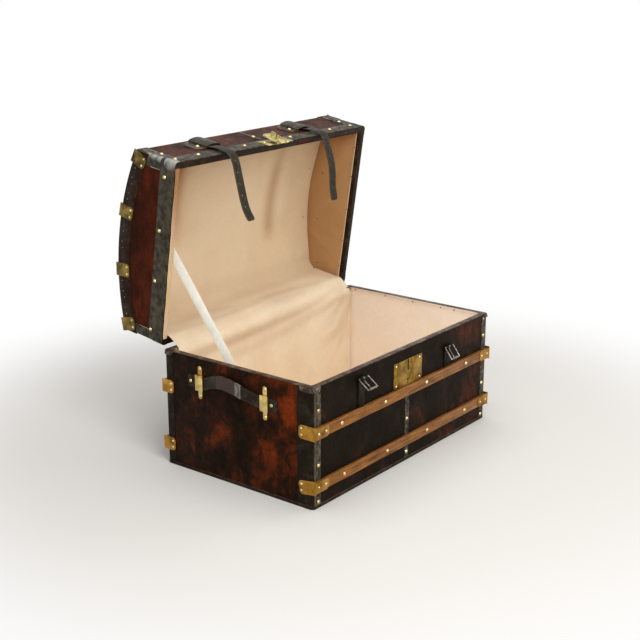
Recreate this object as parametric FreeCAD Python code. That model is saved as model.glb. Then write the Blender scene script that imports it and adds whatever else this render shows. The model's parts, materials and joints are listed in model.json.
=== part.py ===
import FreeCAD, Part
import math
import os

# Dome top trunk, standing open on its stay ribbon.
# Row frame: origin at the middle of the underside, +X along the trunk, front (lock side) facing -Y, +Z up.
# Everything on the lid is drawn in its closed place and then swung open about the hinge pins.

V = FreeCAD.Vector

# ---- driving dimensions, millimetres ----
LENGTH = 800.0
DEPTH = 490.0
BASE_HEIGHT = 316.0
LID_LENGTH = 790.0
LID_WALL = 134.0
DOME_RISE = 44.0
OPEN_ANGLE = 81.6
RIM_GAP = 0.5

SKIN = 2.0
BASE_BOARD = 14.0
LID_BOARD = 12.0
DOME_BOARD = 8.0
BASE_LINING = 4.0
LID_LINING = 3.0
UNDERSIDE = 2.0
CORNER_RADIUS = 10.0

PIN_BEHIND = 10.0
PIN_BELOW = 5.0
HINGE_CENTRES = (-270.0, 0.0, 270.0)

SLAT_WIDTH = 28.0
SLAT_THICKNESS = 9.0
FRONT_SLAT_HEIGHTS = (60.0, 199.0)
BACK_SLAT_HEIGHTS = (57.0, 217.0)
FRONT_SLAT_NAILS = ((-285.0, -99.0, 87.0, 278.0), (-296.0, -110.0, 80.0, 278.0))
BACK_SLAT_NAILS = (-282.0, -94.0, 94.0, 282.0)
DOME_SLAT_THICKNESS = 6.0
DOME_SLAT_ANGLES = (-18.9, -6.28, 7.0, 19.2)
DOME_SLAT_NAILS = (-282.0, -94.0, 94.0, 282.0)

FRONT_END_LOBE = 43.0
BACK_END_LOBE = 30.0
CLAMP_FACE_LENGTH = 52.5
BENT_CLAMP_DROOP = 8.0

CORNER_END_FRONT = 49.0
CORNER_END_BACK = 29.0
CORNER_FACE = 12.0
FOOT_HEIGHT = 9.0
SKIN_FOOT = 1.0
STRIP_X = 379.0
STRIP_WIDTH = 17.0

SHEET_BRASS = 1.5
TIN = 0.8
BINDING = 0.6
BAND = 1.2
CLEAR = 0.3

NAIL_RADIUS = 5.0
NAIL_HEIGHT = 3.0
PIN_HEAD_RADIUS = 3.4
PIN_HEAD_HEIGHT = 1.8
SHANK_RADIUS = 0.9

HANDLE_Y = 12.0
HANDLE_Z = 248.0
HANDLE_LEAN = 3.0
HANDLE_WIDTH = 34.0
HANDLE_THICKNESS = 4.5
HANDLE_LOOP_SPREAD = 108.0
HANDLE_STUDS = {-1: 131.0, 1: 138.0}
HANDLE_ENDS = {-1: 149.0, 1: 154.0}

STRAP_WIDTH = 27.0
STRAP_THICKNESS = 3.0
STRAP_CENTRES = {"left": -207.0, "right": 188.0}
BUCKLE_BAR_HEIGHTS = {"left": 291.0, "right": 272.0}
BUCKLE_TILTS = {"left": 54.0, "right": 37.0}
BUCKLE_WIDTH = 43.0
BUCKLE_LENGTH = 37.0
BUCKLE_WIRE = 1.8
BUCKLE_BAR_OFFSET = 8.0
TAB_THICKNESS = 3.0

PLATE = 1.6
STAPLE_Z = 270.5
CASE_WALL = 1.5

LEAF = 2.0
KNUCKLE_RADIUS = 5.0
HINGE_PIN_RADIUS = 2.5
HINGE_WIDTH = 60.0
KNUCKLES = 5

BAND_FACE_HEIGHT = 40.0
BAND_END_HEIGHT = 50.0
DOME_BINDING_WIDTH = 40.0
DOME_BINDING_RETURN = 25.0
LID_IRON_END = 30.0
LID_IRON_FACES = {-1: 29.0, 1: 43.0}
CAP_END = 26.0
CAP_FACE = 18.0
CAP_HEIGHT = 38.0
FRONT_BAND_NAILS = (-371.0, -287.0, -109.0, 81.0, 258.0, 355.0)
BACK_BAND_NAILS = (-188.0, -94.0, 94.0, 188.0)
FRONT_IRON_NAILS = ((-368.0, 391.0), (359.0, 385.0))
END_BAND_NAILS = ((-200.0, 350.3), (-58.5, 354.5), (78.3, 357.6), (214.9, 360.5))
MIDDLE_STRIP = (-22.0, -8.0)

HASP_PIN_Y = -250.4
HASP_PIN_Z = 303.0
HASP_PIN_RADIUS = 1.6
HASP_KNUCKLE = 3.2
HASP_FOLD = 172.0
HASP_LENGTH = 57.0

KEEPER_ARCHES = {"left": -197.0, "right": 178.0}
KEEPER_LOW = 372.0
KEEPER_HIGH = 438.0
KEEPER_LEATHER = 2.5
ARCH_HALF_WIDTH = 24.0
ARCH_SIDE = 7.2
ARCH_RISE = 9.4
KEEPER_NAIL = (-36.5, 395.0)
KEEPER_TAB_END = 62.0
KEEPER_FLANGE_END = 29.0
STRAP_BEND_Y = -252.5
STRAP_BEND_Z = 321.0
HOLE_PITCH = 30.0
HOLE_RADIUS = 2.5

# Middle line of each strap down the front of the closed lid, from inside its keeper to the bend.
STRAP_ROOT_ROUTE = (
    (-247.8, 433.0), (-247.8, 414.0), (-248.0, 395.0),
    (-250.4, 370.0), (-252.9, 345.0), (STRAP_BEND_Y, STRAP_BEND_Z),
)

# Middle line of each hanging strap from its bend, as (forward, up) steps in the open rest place.
STRAP_ROUTES = {
    "left": ((0, 0), (-15, -5), (-27, -21), (-34, -62), (-48, -121), (-62, -150), (-83, -174)),
    "right": ((0, 0), (-12, -7), (-21.5, -29), (-38, -79), (-42.5, -115), (-43.5, -148), (-50, -188)),
}

RIBBON_WIDTH = 28.0
RIBBON_X = -377.4
RIBBON_THICKNESS = 0.8

# Along the grip from its rear end to its front end: place along Y, rise, stand-off, added thickness.
GRIP_STATIONS = (
    (93.5, 0.0, 0.0, 0.0),
    (76.0, 8.0, 3.0, 0.5),
    (50.0, 18.0, 8.0, 2.0),
    (20.0, 24.0, 11.0, 3.0),
    (-12.0, 20.0, 10.0, 3.0),
    (-42.0, 12.0, 7.0, 2.0),
    (-74.0, 3.5, 2.0, 0.5),
    (-93.5, 0.0, 0.0, 0.0),
)

# ---- derived places ----
HALF_L = LENGTH / 2
HALF_D = DEPTH / 2
LID_HALF_L = LID_LENGTH / 2
BOARD_L = HALF_L - SKIN
BOARD_D = HALF_D - SKIN
INNER_L = BOARD_L - BASE_BOARD
INNER_D = BOARD_D - BASE_BOARD
BOARD_RADIUS = CORNER_RADIUS - SKIN
FLOOR_TOP = UNDERSIDE + BASE_BOARD
RIM_TOP = BASE_HEIGHT
RIM_COVER = 2.0
LID_RIM = BASE_HEIGHT + RIM_GAP
DOME_EDGE = LID_RIM + LID_WALL
DOME_RADIUS = (HALF_D ** 2 + DOME_RISE ** 2) / (2 * DOME_RISE)
DOME_AXIS_Z = DOME_EDGE + DOME_RISE - DOME_RADIUS
LID_BOARD_L = LID_HALF_L - SKIN
LID_INNER_L = LID_BOARD_L - LID_BOARD
LID_INNER_D = BOARD_D - LID_BOARD
PIN_Y = HALF_D + PIN_BEHIND
PIN_Z = BASE_HEIGHT - PIN_BELOW
CASE_FRONT = -BOARD_D
CASE_BACK = -BOARD_D + 10.6
HASP_FACE = HALF_D + BAND + 1.6
LEAF_INNER = -HALF_D - PLATE - 0.8
LEAF_OUTER = LEAF_INNER - 1.8

SIDES = (("left", -1), ("right", 1))
parts = {}
lid = {}


# ---- helpers ----
def slab(x0, x1, y0, y1, z0, z1):
    """Box between two corners."""
    return Part.makeBox(x1 - x0, y1 - y0, z1 - z0, V(x0, y0, z0))


def prism(half_x, half_y, radius, z0, z1):
    """Upright block with rounded vertical edges, centred on the Z axis."""
    block = slab(-half_x, half_x, -half_y, half_y, z0, z1)
    upright = [e for e in block.Edges if abs(e.tangentAt(e.FirstParameter).z) > 0.99]
    return block.makeFillet(radius, upright)


def along_x(radius, y, z, x0, x1):
    """Cylinder whose axis runs along X."""
    return Part.makeCylinder(radius, x1 - x0, V(x0, y, z), V(1, 0, 0))


def dome(radius_change):
    """Solid cylinder of the dome's outer radius plus a change."""
    return along_x(DOME_RADIUS + radius_change, 0, DOME_AXIS_Z, -HALF_L - 20, HALF_L + 20)


def extruded(points, direction):
    """Closed polygon of points, extruded by a vector."""
    wire = Part.makePolygon(list(points) + [points[0]])
    return Part.Face(wire).extrude(direction)


def rounded_plate(width, height, thickness, radius, corners):
    """Plate in the XY plane with its first edge on Y=0, chosen corners rounded, thickness along Z."""
    plate = slab(-width / 2, width / 2, 0, height, 0, thickness)
    chosen = []
    for edge in plate.Edges:
        middle = edge.CenterOfMass
        if abs(edge.tangentAt(edge.FirstParameter).z) < 0.99:
            continue
        if ("far" in corners and middle.y > height / 2) or ("near" in corners and middle.y < height / 2):
            chosen.append(edge)
    return plate.makeFillet(radius, chosen)


def frame_of(origin, x_axis, y_axis):
    """Placement that carries the XY plane onto two given axes."""
    z_axis = x_axis.cross(y_axis)
    matrix = FreeCAD.Matrix(
        x_axis.x, y_axis.x, z_axis.x, origin.x,
        x_axis.y, y_axis.y, z_axis.y, origin.y,
        x_axis.z, y_axis.z, z_axis.z, origin.z,
        0, 0, 0, 1,
    )
    return FreeCAD.Placement(matrix)


def placed(shape, placement):
    """Copy of a shape moved by a placement."""
    moved = shape.copy()
    moved.Placement = placement.multiply(moved.Placement)
    return moved


def domed_nail(place, normal, head_radius, head_height, shank):
    """Round-headed nail: a low dome on a surface and a thin shank driven into it."""
    ball = (head_radius ** 2 + head_height ** 2) / (2 * head_height)
    low = math.degrees(math.asin((ball - head_height) / ball))
    head = Part.makeSphere(ball, V(0, 0, head_height - ball), V(0, 0, 1), low, 90, 360)
    nail = head.fuse(Part.makeCylinder(SHANK_RADIUS, shank + 0.2, V(0, 0, -shank)))
    return placed(nail, FreeCAD.Placement(place, FreeCAD.Rotation(V(0, 0, 1), normal)))


def big_nail(place, normal, shank=9.0):
    """Ten millimetre brass nail."""
    return domed_nail(place, normal, NAIL_RADIUS, NAIL_HEIGHT, shank)


def small_pin(place, normal, shank=6.0):
    """Seven millimetre brass pin."""
    return domed_nail(place, normal, PIN_HEAD_RADIUS, PIN_HEAD_HEIGHT, shank)


def opened(shape):
    """A lid piece swung from its closed place to the open rest place."""
    turned = shape.copy()
    turned.rotate(V(0, PIN_Y, PIN_Z), V(1, 0, 0), -OPEN_ANGLE)
    return turned


def mirrored(shape):
    """Mirror image across the YZ plane."""
    return shape.mirror(V(0, 0, 0), V(1, 0, 0))


def back_to_front(shape):
    """Mirror image across the XZ plane."""
    return shape.mirror(V(0, 0, 0), V(0, 1, 0))


def group(shapes):
    """Separate solids kept as one node."""
    solids = []
    for shape in shapes:
        solids += shape.Solids
    return Part.makeCompound(solids)


def slat_bar(half_length, thickness):
    """Hardwood slat lying on Z=0 along X, its two outer long edges eased."""
    bar = slab(-half_length, half_length, -SLAT_WIDTH / 2, SLAT_WIDTH / 2, 0, thickness)
    outer = [
        e for e in bar.Edges
        if e.CenterOfMass.z > thickness - 0.1 and abs(e.tangentAt(e.FirstParameter).x) > 0.99
    ]
    return bar.makeFillet(2.5, outer)


# ---- base case ----
def base_boards():
    """Four pine walls standing on a bottom board."""
    walls = prism(BOARD_L, BOARD_D, BOARD_RADIUS, FLOOR_TOP, RIM_TOP - RIM_COVER)
    walls = walls.cut(slab(-INNER_L, INNER_L, -INNER_D, INNER_D, 0, BASE_HEIGHT))
    front = walls.common(slab(-HALF_L, HALF_L, -HALF_D, -INNER_D, 0, BASE_HEIGHT))
    mortise = slab(-36, 36, -BOARD_D - 1, -BOARD_D + 11, 208, 292)
    parts["base_front_board"] = front.cut(mortise)
    parts["base_back_board"] = walls.common(slab(-HALF_L, HALF_L, INNER_D, HALF_D, 0, BASE_HEIGHT))
    parts["base_left_board"] = walls.common(slab(-HALF_L, -INNER_L, -INNER_D, INNER_D, 0, BASE_HEIGHT))
    parts["base_right_board"] = walls.common(slab(INNER_L, HALF_L, -INNER_D, INNER_D, 0, BASE_HEIGHT))
    parts["base_bottom_board"] = prism(BOARD_L, BOARD_D, BOARD_RADIUS, UNDERSIDE, FLOOR_TOP)
    parts["base_underside_canvas"] = prism(BOARD_L, BOARD_D, BOARD_RADIUS, 0, UNDERSIDE)


def corner_zone(end_leg_front, end_leg_back, face_legs, z0, z1, half_length=HALF_L):
    """Blocks that mark out the four upright corners: legs along the ends and along the faces."""
    reach = 20.0
    zones = []
    for sign in (-1, 1):
        face_leg = face_legs[sign]
        outer = sign * (half_length + reach)
        inner = sign * (half_length - face_leg)
        x0, x1 = min(outer, inner), max(outer, inner)
        zones.append(slab(x0, x1, -HALF_D - reach, -HALF_D + end_leg_front, z0, z1))
        zones.append(slab(x0, x1, HALF_D - end_leg_back, HALF_D + reach, z0, z1))
    marked = zones[0]
    for zone in zones[1:]:
        marked = marked.fuse(zone)
    return marked


def cut_lock_openings(shape, grow, y0=-HALF_D - 5, y1=-BOARD_D + 0.1):
    """Cuts the slot for the hasp's staple and the keyhole below it through a shape."""
    shape = shape.cut(slab(-2 - grow, 2 + grow, y0, y1, 254 - grow, 284 + grow))
    shape = shape.cut(Part.makeCylinder(2.6 + grow, y1 - y0, V(0, y0, 229), V(0, 1, 0)))
    return shape.cut(slab(-1.5 - grow, 1.5 + grow, y0, y1, 217 - grow, 228))


def base_skins():
    """Leather panels between the corner bindings, and the bindings themselves."""
    top = RIM_TOP - RIM_COVER
    core = prism(BOARD_L, BOARD_D, BOARD_RADIUS, 0, RIM_TOP)
    corners = corner_zone(CORNER_END_FRONT, CORNER_END_BACK, {-1: CORNER_FACE, 1: CORNER_FACE}, 0, RIM_TOP)
    hide = prism(HALF_L, HALF_D, CORNER_RADIUS, SKIN_FOOT, top).cut(core).cut(corners)
    front = hide.common(slab(-HALF_L, HALF_L, -HALF_D, -BOARD_D, 0, RIM_TOP)).Solids[0]
    back = hide.common(slab(-HALF_L, HALF_L, BOARD_D, HALF_D, 0, RIM_TOP))
    parts["base_wall_skins"] = group([cut_lock_openings(front, 1.0), back])
    parts["base_end_skins"] = group([hide.common(slab(-HALF_L, HALF_L, -BOARD_D, BOARD_D, 0, RIM_TOP))])
    thick = HALF_L + BINDING, HALF_D + BINDING, CORNER_RADIUS + BINDING
    binding = prism(*thick, FOOT_HEIGHT, top).cut(core).common(corners)
    low = prism(HALF_L, HALF_D, CORNER_RADIUS, SKIN_FOOT, FOOT_HEIGHT).cut(core).common(corners)
    parts["base_corner_bindings"] = group([binding.fuse(low).removeSplitter()])
    rim = prism(HALF_L, HALF_D, CORNER_RADIUS, top, RIM_TOP)
    parts["base_rim_binding"] = rim.cut(slab(-INNER_L, INNER_L, -INNER_D, INNER_D, 0, BASE_HEIGHT))


def base_foot_and_strips():
    """Tin strip round the foot, cut into four lengths, and upright tin strips on front and back."""
    outer = prism(HALF_L + BAND, HALF_D + BAND, CORNER_RADIUS + BAND, 0, FOOT_HEIGHT)
    ring = outer.cut(prism(HALF_L, HALF_D, CORNER_RADIUS, -1, FOOT_HEIGHT + 1))
    long_run, short_run = HALF_L - CORNER_RADIUS, HALF_D - CORNER_RADIUS
    far_x, far_y = HALF_L + 5, HALF_D + 5
    lengths = [
        ring.common(slab(-far_x, far_x, -far_y, -short_run, 0, FOOT_HEIGHT)),
        ring.common(slab(-far_x, far_x, short_run, far_y, 0, FOOT_HEIGHT)),
        ring.common(slab(-far_x, -long_run, -short_run, short_run, 0, FOOT_HEIGHT)),
        ring.common(slab(long_run, far_x, -short_run, short_run, 0, FOOT_HEIGHT)),
    ]
    parts["base_foot_strips"] = group(lengths)
    strips = []
    for x in (-STRIP_X, STRIP_X):
        half = STRIP_WIDTH / 2
        strips.append(slab(x - half, x + half, -HALF_D - TIN, -HALF_D, FOOT_HEIGHT, RIM_TOP - RIM_COVER))
        strips.append(slab(x - half, x + half, HALF_D, HALF_D + TIN, FOOT_HEIGHT, RIM_TOP - RIM_COVER))
    strips.append(slab(-9, 9, -HALF_D - TIN, -HALF_D, FOOT_HEIGHT, FRONT_SLAT_HEIGHTS[1] + SLAT_WIDTH / 2))
    parts["base_edge_strips"] = group(strips)


def base_slats():
    """Slats across the front and the back, seated over the tin strips and the corner bindings."""
    under = parts["base_edge_strips"].Solids + parts["base_corner_bindings"].Solids
    for name, heights, facing in (
        ("base_front_slats", FRONT_SLAT_HEIGHTS, -1),
        ("base_back_slats", BACK_SLAT_HEIGHTS, 1),
    ):
        slats = []
        for height in heights:
            place = frame_of(V(0, facing * HALF_D, height), V(-facing, 0, 0), V(0, 0, 1))
            slat = placed(slat_bar(HALF_L + BINDING, SLAT_THICKNESS), place)
            slats.append(slat.cut(under))
        parts[name] = group(slats)


def base_clamp(height, end_lobe, droop=0.0):
    """Brass clamp at the front left corner: a lobe on the end, a fold, and a lobe over the slat."""
    fold_y = -HALF_D - SLAT_THICKNESS
    end_face = -HALF_L - BINDING
    end_plate = rounded_plate(36, SLAT_THICKNESS + SHEET_BRASS + end_lobe, SHEET_BRASS, 10, ("far",))
    end_place = frame_of(V(end_face, fold_y - SHEET_BRASS, height), V(0, 0, 1), V(0, 1, 0))
    end = placed(end_plate, end_place)
    if droop:
        end.rotate(V(end_face, fold_y, height), V(1, 0, 0), -droop)
        fold = fold_y - SHEET_BRASS
        end = end.cut(slab(end_face - 5, end_face + 5, fold - 20, fold, height - 40, height + 40))
    slat_plate = rounded_plate(SLAT_WIDTH + 1, CLAMP_FACE_LENGTH, SHEET_BRASS, 10, ("far",))
    slat_place = frame_of(V(end_face - SHEET_BRASS, fold_y, height), V(0, 0, -1), V(1, 0, 0))
    return end.fuse(placed(slat_plate, slat_place)).removeSplitter()


def base_clamps():
    """Eight clamps, one at each end of each slat; the lower front left one has drooped."""
    clamps = []
    for height, droop in zip(FRONT_SLAT_HEIGHTS, (BENT_CLAMP_DROOP, 0.0)):
        clamps += [base_clamp(height, FRONT_END_LOBE, droop), mirrored(base_clamp(height, FRONT_END_LOBE))]
    for height in BACK_SLAT_HEIGHTS:
        clamp = back_to_front(base_clamp(height, BACK_END_LOBE))
        clamps += [clamp, mirrored(clamp)]
    parts["base_corner_clamps"] = group(clamps)


def base_fasteners():
    """Brass nails through slats and strips, and small pins through the clamps, plate and hinges."""
    nails = []
    slat_face = HALF_D + SLAT_THICKNESS
    strip_face = HALF_D + TIN
    for facing, heights, rows in (
        (-1, FRONT_SLAT_HEIGHTS, FRONT_SLAT_NAILS),
        (1, BACK_SLAT_HEIGHTS, (BACK_SLAT_NAILS, BACK_SLAT_NAILS)),
    ):
        out = V(0, facing, 0)
        for height, row in zip(heights, rows):
            nails += [big_nail(V(x, facing * slat_face, height), out, 16) for x in row]
        for x in (-STRIP_X, STRIP_X):
            nails += [big_nail(V(x, facing * strip_face, z), out) for z in (16, 112, 254)]
            nails.append(small_pin(V(x, facing * strip_face, 304), out))
    nails += [big_nail(V(0, -strip_face, z), V(0, -1, 0)) for z in (24, 118)]
    clamp_face = slat_face + SHEET_BRASS
    lobe_face = HALF_L + BINDING + SHEET_BRASS
    for sign in (-1, 1):
        side = V(sign, 0, 0)
        for facing, heights, lobe_y in ((-1, FRONT_SLAT_HEIGHTS, 210), (1, BACK_SLAT_HEIGHTS, 224)):
            for height in heights:
                bent = BENT_CLAMP_DROOP if (sign, facing, height) == (-1, -1, FRONT_SLAT_HEIGHTS[0]) else 0.0
                drop = math.sin(math.radians(bent)) * (slat_face - lobe_y)
                for dz in (-8.5, 8.5):
                    nails.append(small_pin(V(sign * lobe_face, facing * lobe_y, height - drop + dz), side))
                for x in (389, 361):
                    nails.append(small_pin(V(sign * x, facing * clamp_face, height), V(0, facing, 0), 14))
    for x in (-54, 54):
        for z in (222, 276):
            nails.append(small_pin(V(x, -HALF_D - PLATE, z), V(0, -1, 0)))
    for centre in HINGE_CENTRES:
        for dx, z in ((-20, 284), (20, 284), (0, 262)):
            nails.append(small_pin(V(centre + dx, HALF_D + LEAF, z), V(0, 1, 0)))
    parts["base_nails"] = group(nails)


def base_lining():
    """Cloth-covered card tray that lines the base."""
    tray = slab(-INNER_L, INNER_L, -INNER_D, INNER_D, FLOOR_TOP, RIM_TOP)
    room_l, room_d = INNER_L - BASE_LINING, INNER_D - BASE_LINING
    room = slab(-room_l, room_l, -room_d, room_d, FLOOR_TOP + 3, RIM_TOP + 1)
    parts["base_lining"] = tray.cut(room)


# ---- lock ----
def lock():
    """Lock plate on the front, its case let into the board, and the bolt that takes the staple."""
    plate = slab(-65, 65, -HALF_D - PLATE, -HALF_D, FRONT_SLAT_HEIGHTS[1] + SLAT_WIDTH / 2 + 0.5, 285)
    parts["lock_plate"] = cut_lock_openings(plate, 0.0)
    case = slab(-35.5, 35.5, CASE_FRONT, CASE_BACK, 208.5, 291.5)
    room = slab(-34, 34, CASE_FRONT + CASE_WALL, CASE_BACK - CASE_WALL, 210, 290)
    case = cut_lock_openings(case.cut(room), 0.5, CASE_FRONT - 1, CASE_FRONT + CASE_WALL + 0.5)
    key_post = Part.makeCylinder(1.0, 6.5, V(0, CASE_BACK - CASE_WALL - 6.4, 229), V(0, 1, 0))
    parts["lock_case"] = case.fuse(key_post)
    bolt_y = CASE_FRONT + CASE_WALL + CLEAR
    bolt = slab(5, 31, bolt_y, bolt_y + 3, STAPLE_Z - 5, STAPLE_Z + 5)
    parts["lock_bolt"] = bolt.fuse(slab(18, 24, bolt_y, bolt_y + 3, 246, STAPLE_Z - 5))


# ---- end handles ----
def handle(side, sign):
    """Leather end handle: two tongues held in brass loops and a raised grip between them."""
    face = HALF_L
    out = V(sign, 0, 0)
    half_w = HANDLE_WIDTH / 2
    loops, tongues = [], []
    for end in (-1, 1):
        centre = HANDLE_Y + end * HANDLE_LOOP_SPREAD
        middle_z = HANDLE_Z + end * HANDLE_LEAN
        across = frame_of(V(sign * face, centre, middle_z), V(0, sign, 0), V(0, 0, 1))
        body = slab(-12.5, 12.5, -half_w - 4, half_w + 4, 0, 7)
        body = body.cut(slab(-13, 13, -half_w - 0.5, half_w + 0.5, -1, HANDLE_THICKNESS + CLEAR))
        for way in (-1, 1):
            lug = rounded_plate(13, 24, SHEET_BRASS, 6, ("far",))
            lug_place = frame_of(V(0, way * (half_w + 3), 0), V(way, 0, 0), V(0, way, 0))
            body = body.fuse(placed(lug, lug_place))
        box = placed(body, across)
        for way in (-1, 1):
            spot = V(sign * (face + SHEET_BRASS), centre, middle_z + way * 36.5)
            box = box.fuse(big_nail(spot, out))
        loops.append(box.removeSplitter())
        spot = V(sign * (face + HANDLE_THICKNESS), HANDLE_Y + end * HANDLE_STUDS[end], middle_z)
        loops.append(big_nail(spot, out, 12))
        tongue = rounded_plate(HANDLE_WIDTH, HANDLE_ENDS[end] - 94, HANDLE_THICKNESS, 7, ("far",))
        start = V(sign * face, HANDLE_Y + end * 94, middle_z)
        tongues.append(placed(tongue, frame_of(start, V(0, 0, -end * sign), V(0, end, 0))))
    parts["handle_" + side + "_loops"] = group(loops)
    parts["handle_" + side + "_tongues"] = group(tongues)
    parts["handle_" + side + "_grip"] = handle_grip(sign)


def handle_grip(sign):
    """Stitched leather grip, bowed up and out between the loops."""
    sections = []
    for along, rise, stand_off, extra in GRIP_STATIONS:
        near = HALF_L + CLEAR + stand_off
        far = near + HANDLE_THICKNESS + extra
        y = HANDLE_Y + along
        low = HANDLE_Z + HANDLE_LEAN * along / HANDLE_LOOP_SPREAD + rise - HANDLE_WIDTH / 2
        high = low + HANDLE_WIDTH
        corners = ((near, low), (far, low), (far, high), (near, high), (near, low))
        sections.append(Part.makePolygon([V(sign * x, y, z) for x, z in corners]))
    grip = Part.makeLoft(sections, True, False)
    return grip.cut(slab(-HALF_L - CLEAR, HALF_L + CLEAR, -HALF_D, HALF_D, 150, 350))


# ---- front buckles ----
def buckle(side):
    """Leather tab, bar buckle and tongue under one of the lid straps."""
    x = STRAP_CENTRES[side]
    bar_z = BUCKLE_BAR_HEIGHTS[side]
    bar_y = -HALF_D - BUCKLE_BAR_OFFSET
    half = STRAP_WIDTH / 2
    slat_top = FRONT_SLAT_HEIGHTS[1] + SLAT_WIDTH / 2
    eye = BUCKLE_WIRE + 0.05
    strip = slab(x - half, x + half, -HALF_D - TAB_THICKNESS, -HALF_D, slat_top + 1, bar_z - 1)
    web = extruded(
        [
            V(x - half, -HALF_D - TAB_THICKNESS, bar_z - 14),
            V(x - half, -HALF_D, bar_z - 14),
            V(x - half, -HALF_D, bar_z + 3),
            V(x - half, bar_y, bar_z + eye + 2.2),
            V(x - half, bar_y, bar_z - eye - 2.0),
        ],
        V(STRAP_WIDTH, 0, 0),
    )
    loop = along_x(eye + 2.2, bar_y, bar_z, x - half, x + half)
    gap = slab(x - 4, x + 4, bar_y - 6, -HALF_D - TAB_THICKNESS + 0.6, bar_z - 16, bar_z + 8)
    tab = strip.fuse(web).fuse(loop).cut(along_x(eye, bar_y, bar_z, x - 40, x + 40)).cut(gap)
    pin = small_pin(V(x, -HALF_D - TAB_THICKNESS, slat_top + 12), V(0, -1, 0))
    parts["buckle_" + side + "_tab"] = tab.fuse(pin).removeSplitter()
    half_w = BUCKLE_WIDTH / 2 - BUCKLE_WIRE
    reach = BUCKLE_LENGTH - BUCKLE_WIRE
    corners = [V(-half_w, 0, 0), V(half_w, 0, 0), V(half_w, -reach, 0), V(-half_w, -reach, 0)]
    wires = []
    for start, end in zip(corners, corners[1:] + corners[:1]):
        run = end - start
        wires.append(Part.makeCylinder(BUCKLE_WIRE, run.Length, start, run))
        wires.append(Part.makeSphere(BUCKLE_WIRE, start))
    frame = wires[0].multiFuse(wires[1:])
    roller = Part.makeCylinder(BUCKLE_WIRE + 1.2, 30, V(-15, -reach, 0), V(1, 0, 0))
    frame = frame.fuse(roller).removeSplitter()
    ring = Part.makeCylinder(BUCKLE_WIRE + 1.5, 6, V(-3, 0, 0), V(1, 0, 0))
    tip = BUCKLE_WIRE + 1.2 + CLEAR
    prong = slab(-1.6, 1.6, -reach + 2.6, -1, -tip - 1.8, -tip)
    nose = slab(-1.6, 1.6, -reach - 2, -reach + 2.6, -tip - 1.8, -tip)
    shoulder = slab(-1.6, 1.6, -4, 0, -tip - 1.8, 0)
    bore = Part.makeCylinder(BUCKLE_WIRE + 0.05, 10, V(-5, 0, 0), V(1, 0, 0))
    tongue = ring.fuse(prong).fuse(nose).fuse(shoulder).cut(bore).removeSplitter()
    lean = math.radians(BUCKLE_TILTS[side])
    hang = V(0, math.sin(lean), math.cos(lean))
    place = frame_of(V(x, bar_y, bar_z), V(1, 0, 0), hang)
    parts["buckle_" + side + "_frame"] = placed(frame, place)
    parts["buckle_" + side + "_tongue"] = placed(tongue, place)


# ---- hinges ----
def knuckle_spans(centre, first):
    """X ranges of every second knuckle of a hinge."""
    step = HINGE_WIDTH / KNUCKLES
    start = centre - HINGE_WIDTH / 2
    return [(start + k * step + 0.15, start + (k + 1) * step - 0.15) for k in range(first, KNUCKLES, 2)]


def hinge_leaf(centre, first, plate, crank, bore):
    """Flat leaf with cranked knuckles; plate is (y0, y1, z0, z1), crank a YZ outline."""
    leaf = slab(centre - HINGE_WIDTH / 2, centre + HINGE_WIDTH / 2, *plate)
    for x0, x1 in knuckle_spans(centre, first):
        leaf = leaf.fuse(extruded([V(x0, y, z) for y, z in crank], V(x1 - x0, 0, 0)))
        leaf = leaf.fuse(along_x(KNUCKLE_RADIUS, PIN_Y, PIN_Z, x0, x1))
    reach = HINGE_WIDTH / 2 + 1
    return leaf.cut(along_x(bore, PIN_Y, PIN_Z, centre - reach, centre + reach)).removeSplitter()


def hinges():
    """Three butt hinges across the back, their pins fixed in the base leaves."""
    y0, y1 = HALF_D, HALF_D + LEAF
    base_crank = [(y0, 296), (y0, 293), (y1, 292), (PIN_Y + 1.5, PIN_Z - 4), (PIN_Y - 2.5, PIN_Z - 1)]
    base_plate = (y0, y1, 252, 297)
    ly0, ly1 = HALF_D + BAND, HALF_D + BAND + LEAF
    lid_crank = [(ly0, 326), (ly1, 328), (PIN_Y + 1.5, PIN_Z + 4), (PIN_Y - 2.5, PIN_Z + 1)]
    lid_plate = (ly0, ly1, 325, 371)
    base_leaves, lid_leaves, pins = [], [], []
    for centre in HINGE_CENTRES:
        base_leaves.append(hinge_leaf(centre, 0, base_plate, base_crank, HINGE_PIN_RADIUS + 0.02))
        lid_leaves.append(hinge_leaf(centre, 1, lid_plate, lid_crank, HINGE_PIN_RADIUS + 0.06))
        half = HINGE_WIDTH / 2 + 1
        pin = along_x(HINGE_PIN_RADIUS, PIN_Y, PIN_Z, centre - half, centre + half)
        for end in (-half - 1.4, half):
            pin = pin.fuse(along_x(HINGE_PIN_RADIUS + 1, PIN_Y, PIN_Z, centre + end, centre + end + 1.4))
        pins.append(pin.removeSplitter())
    parts["hinge_base_leaves"] = group(base_leaves)
    parts["hinge_pins"] = group(pins)
    parts["hinge_lid_leaves"] = opened(group(lid_leaves))


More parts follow.
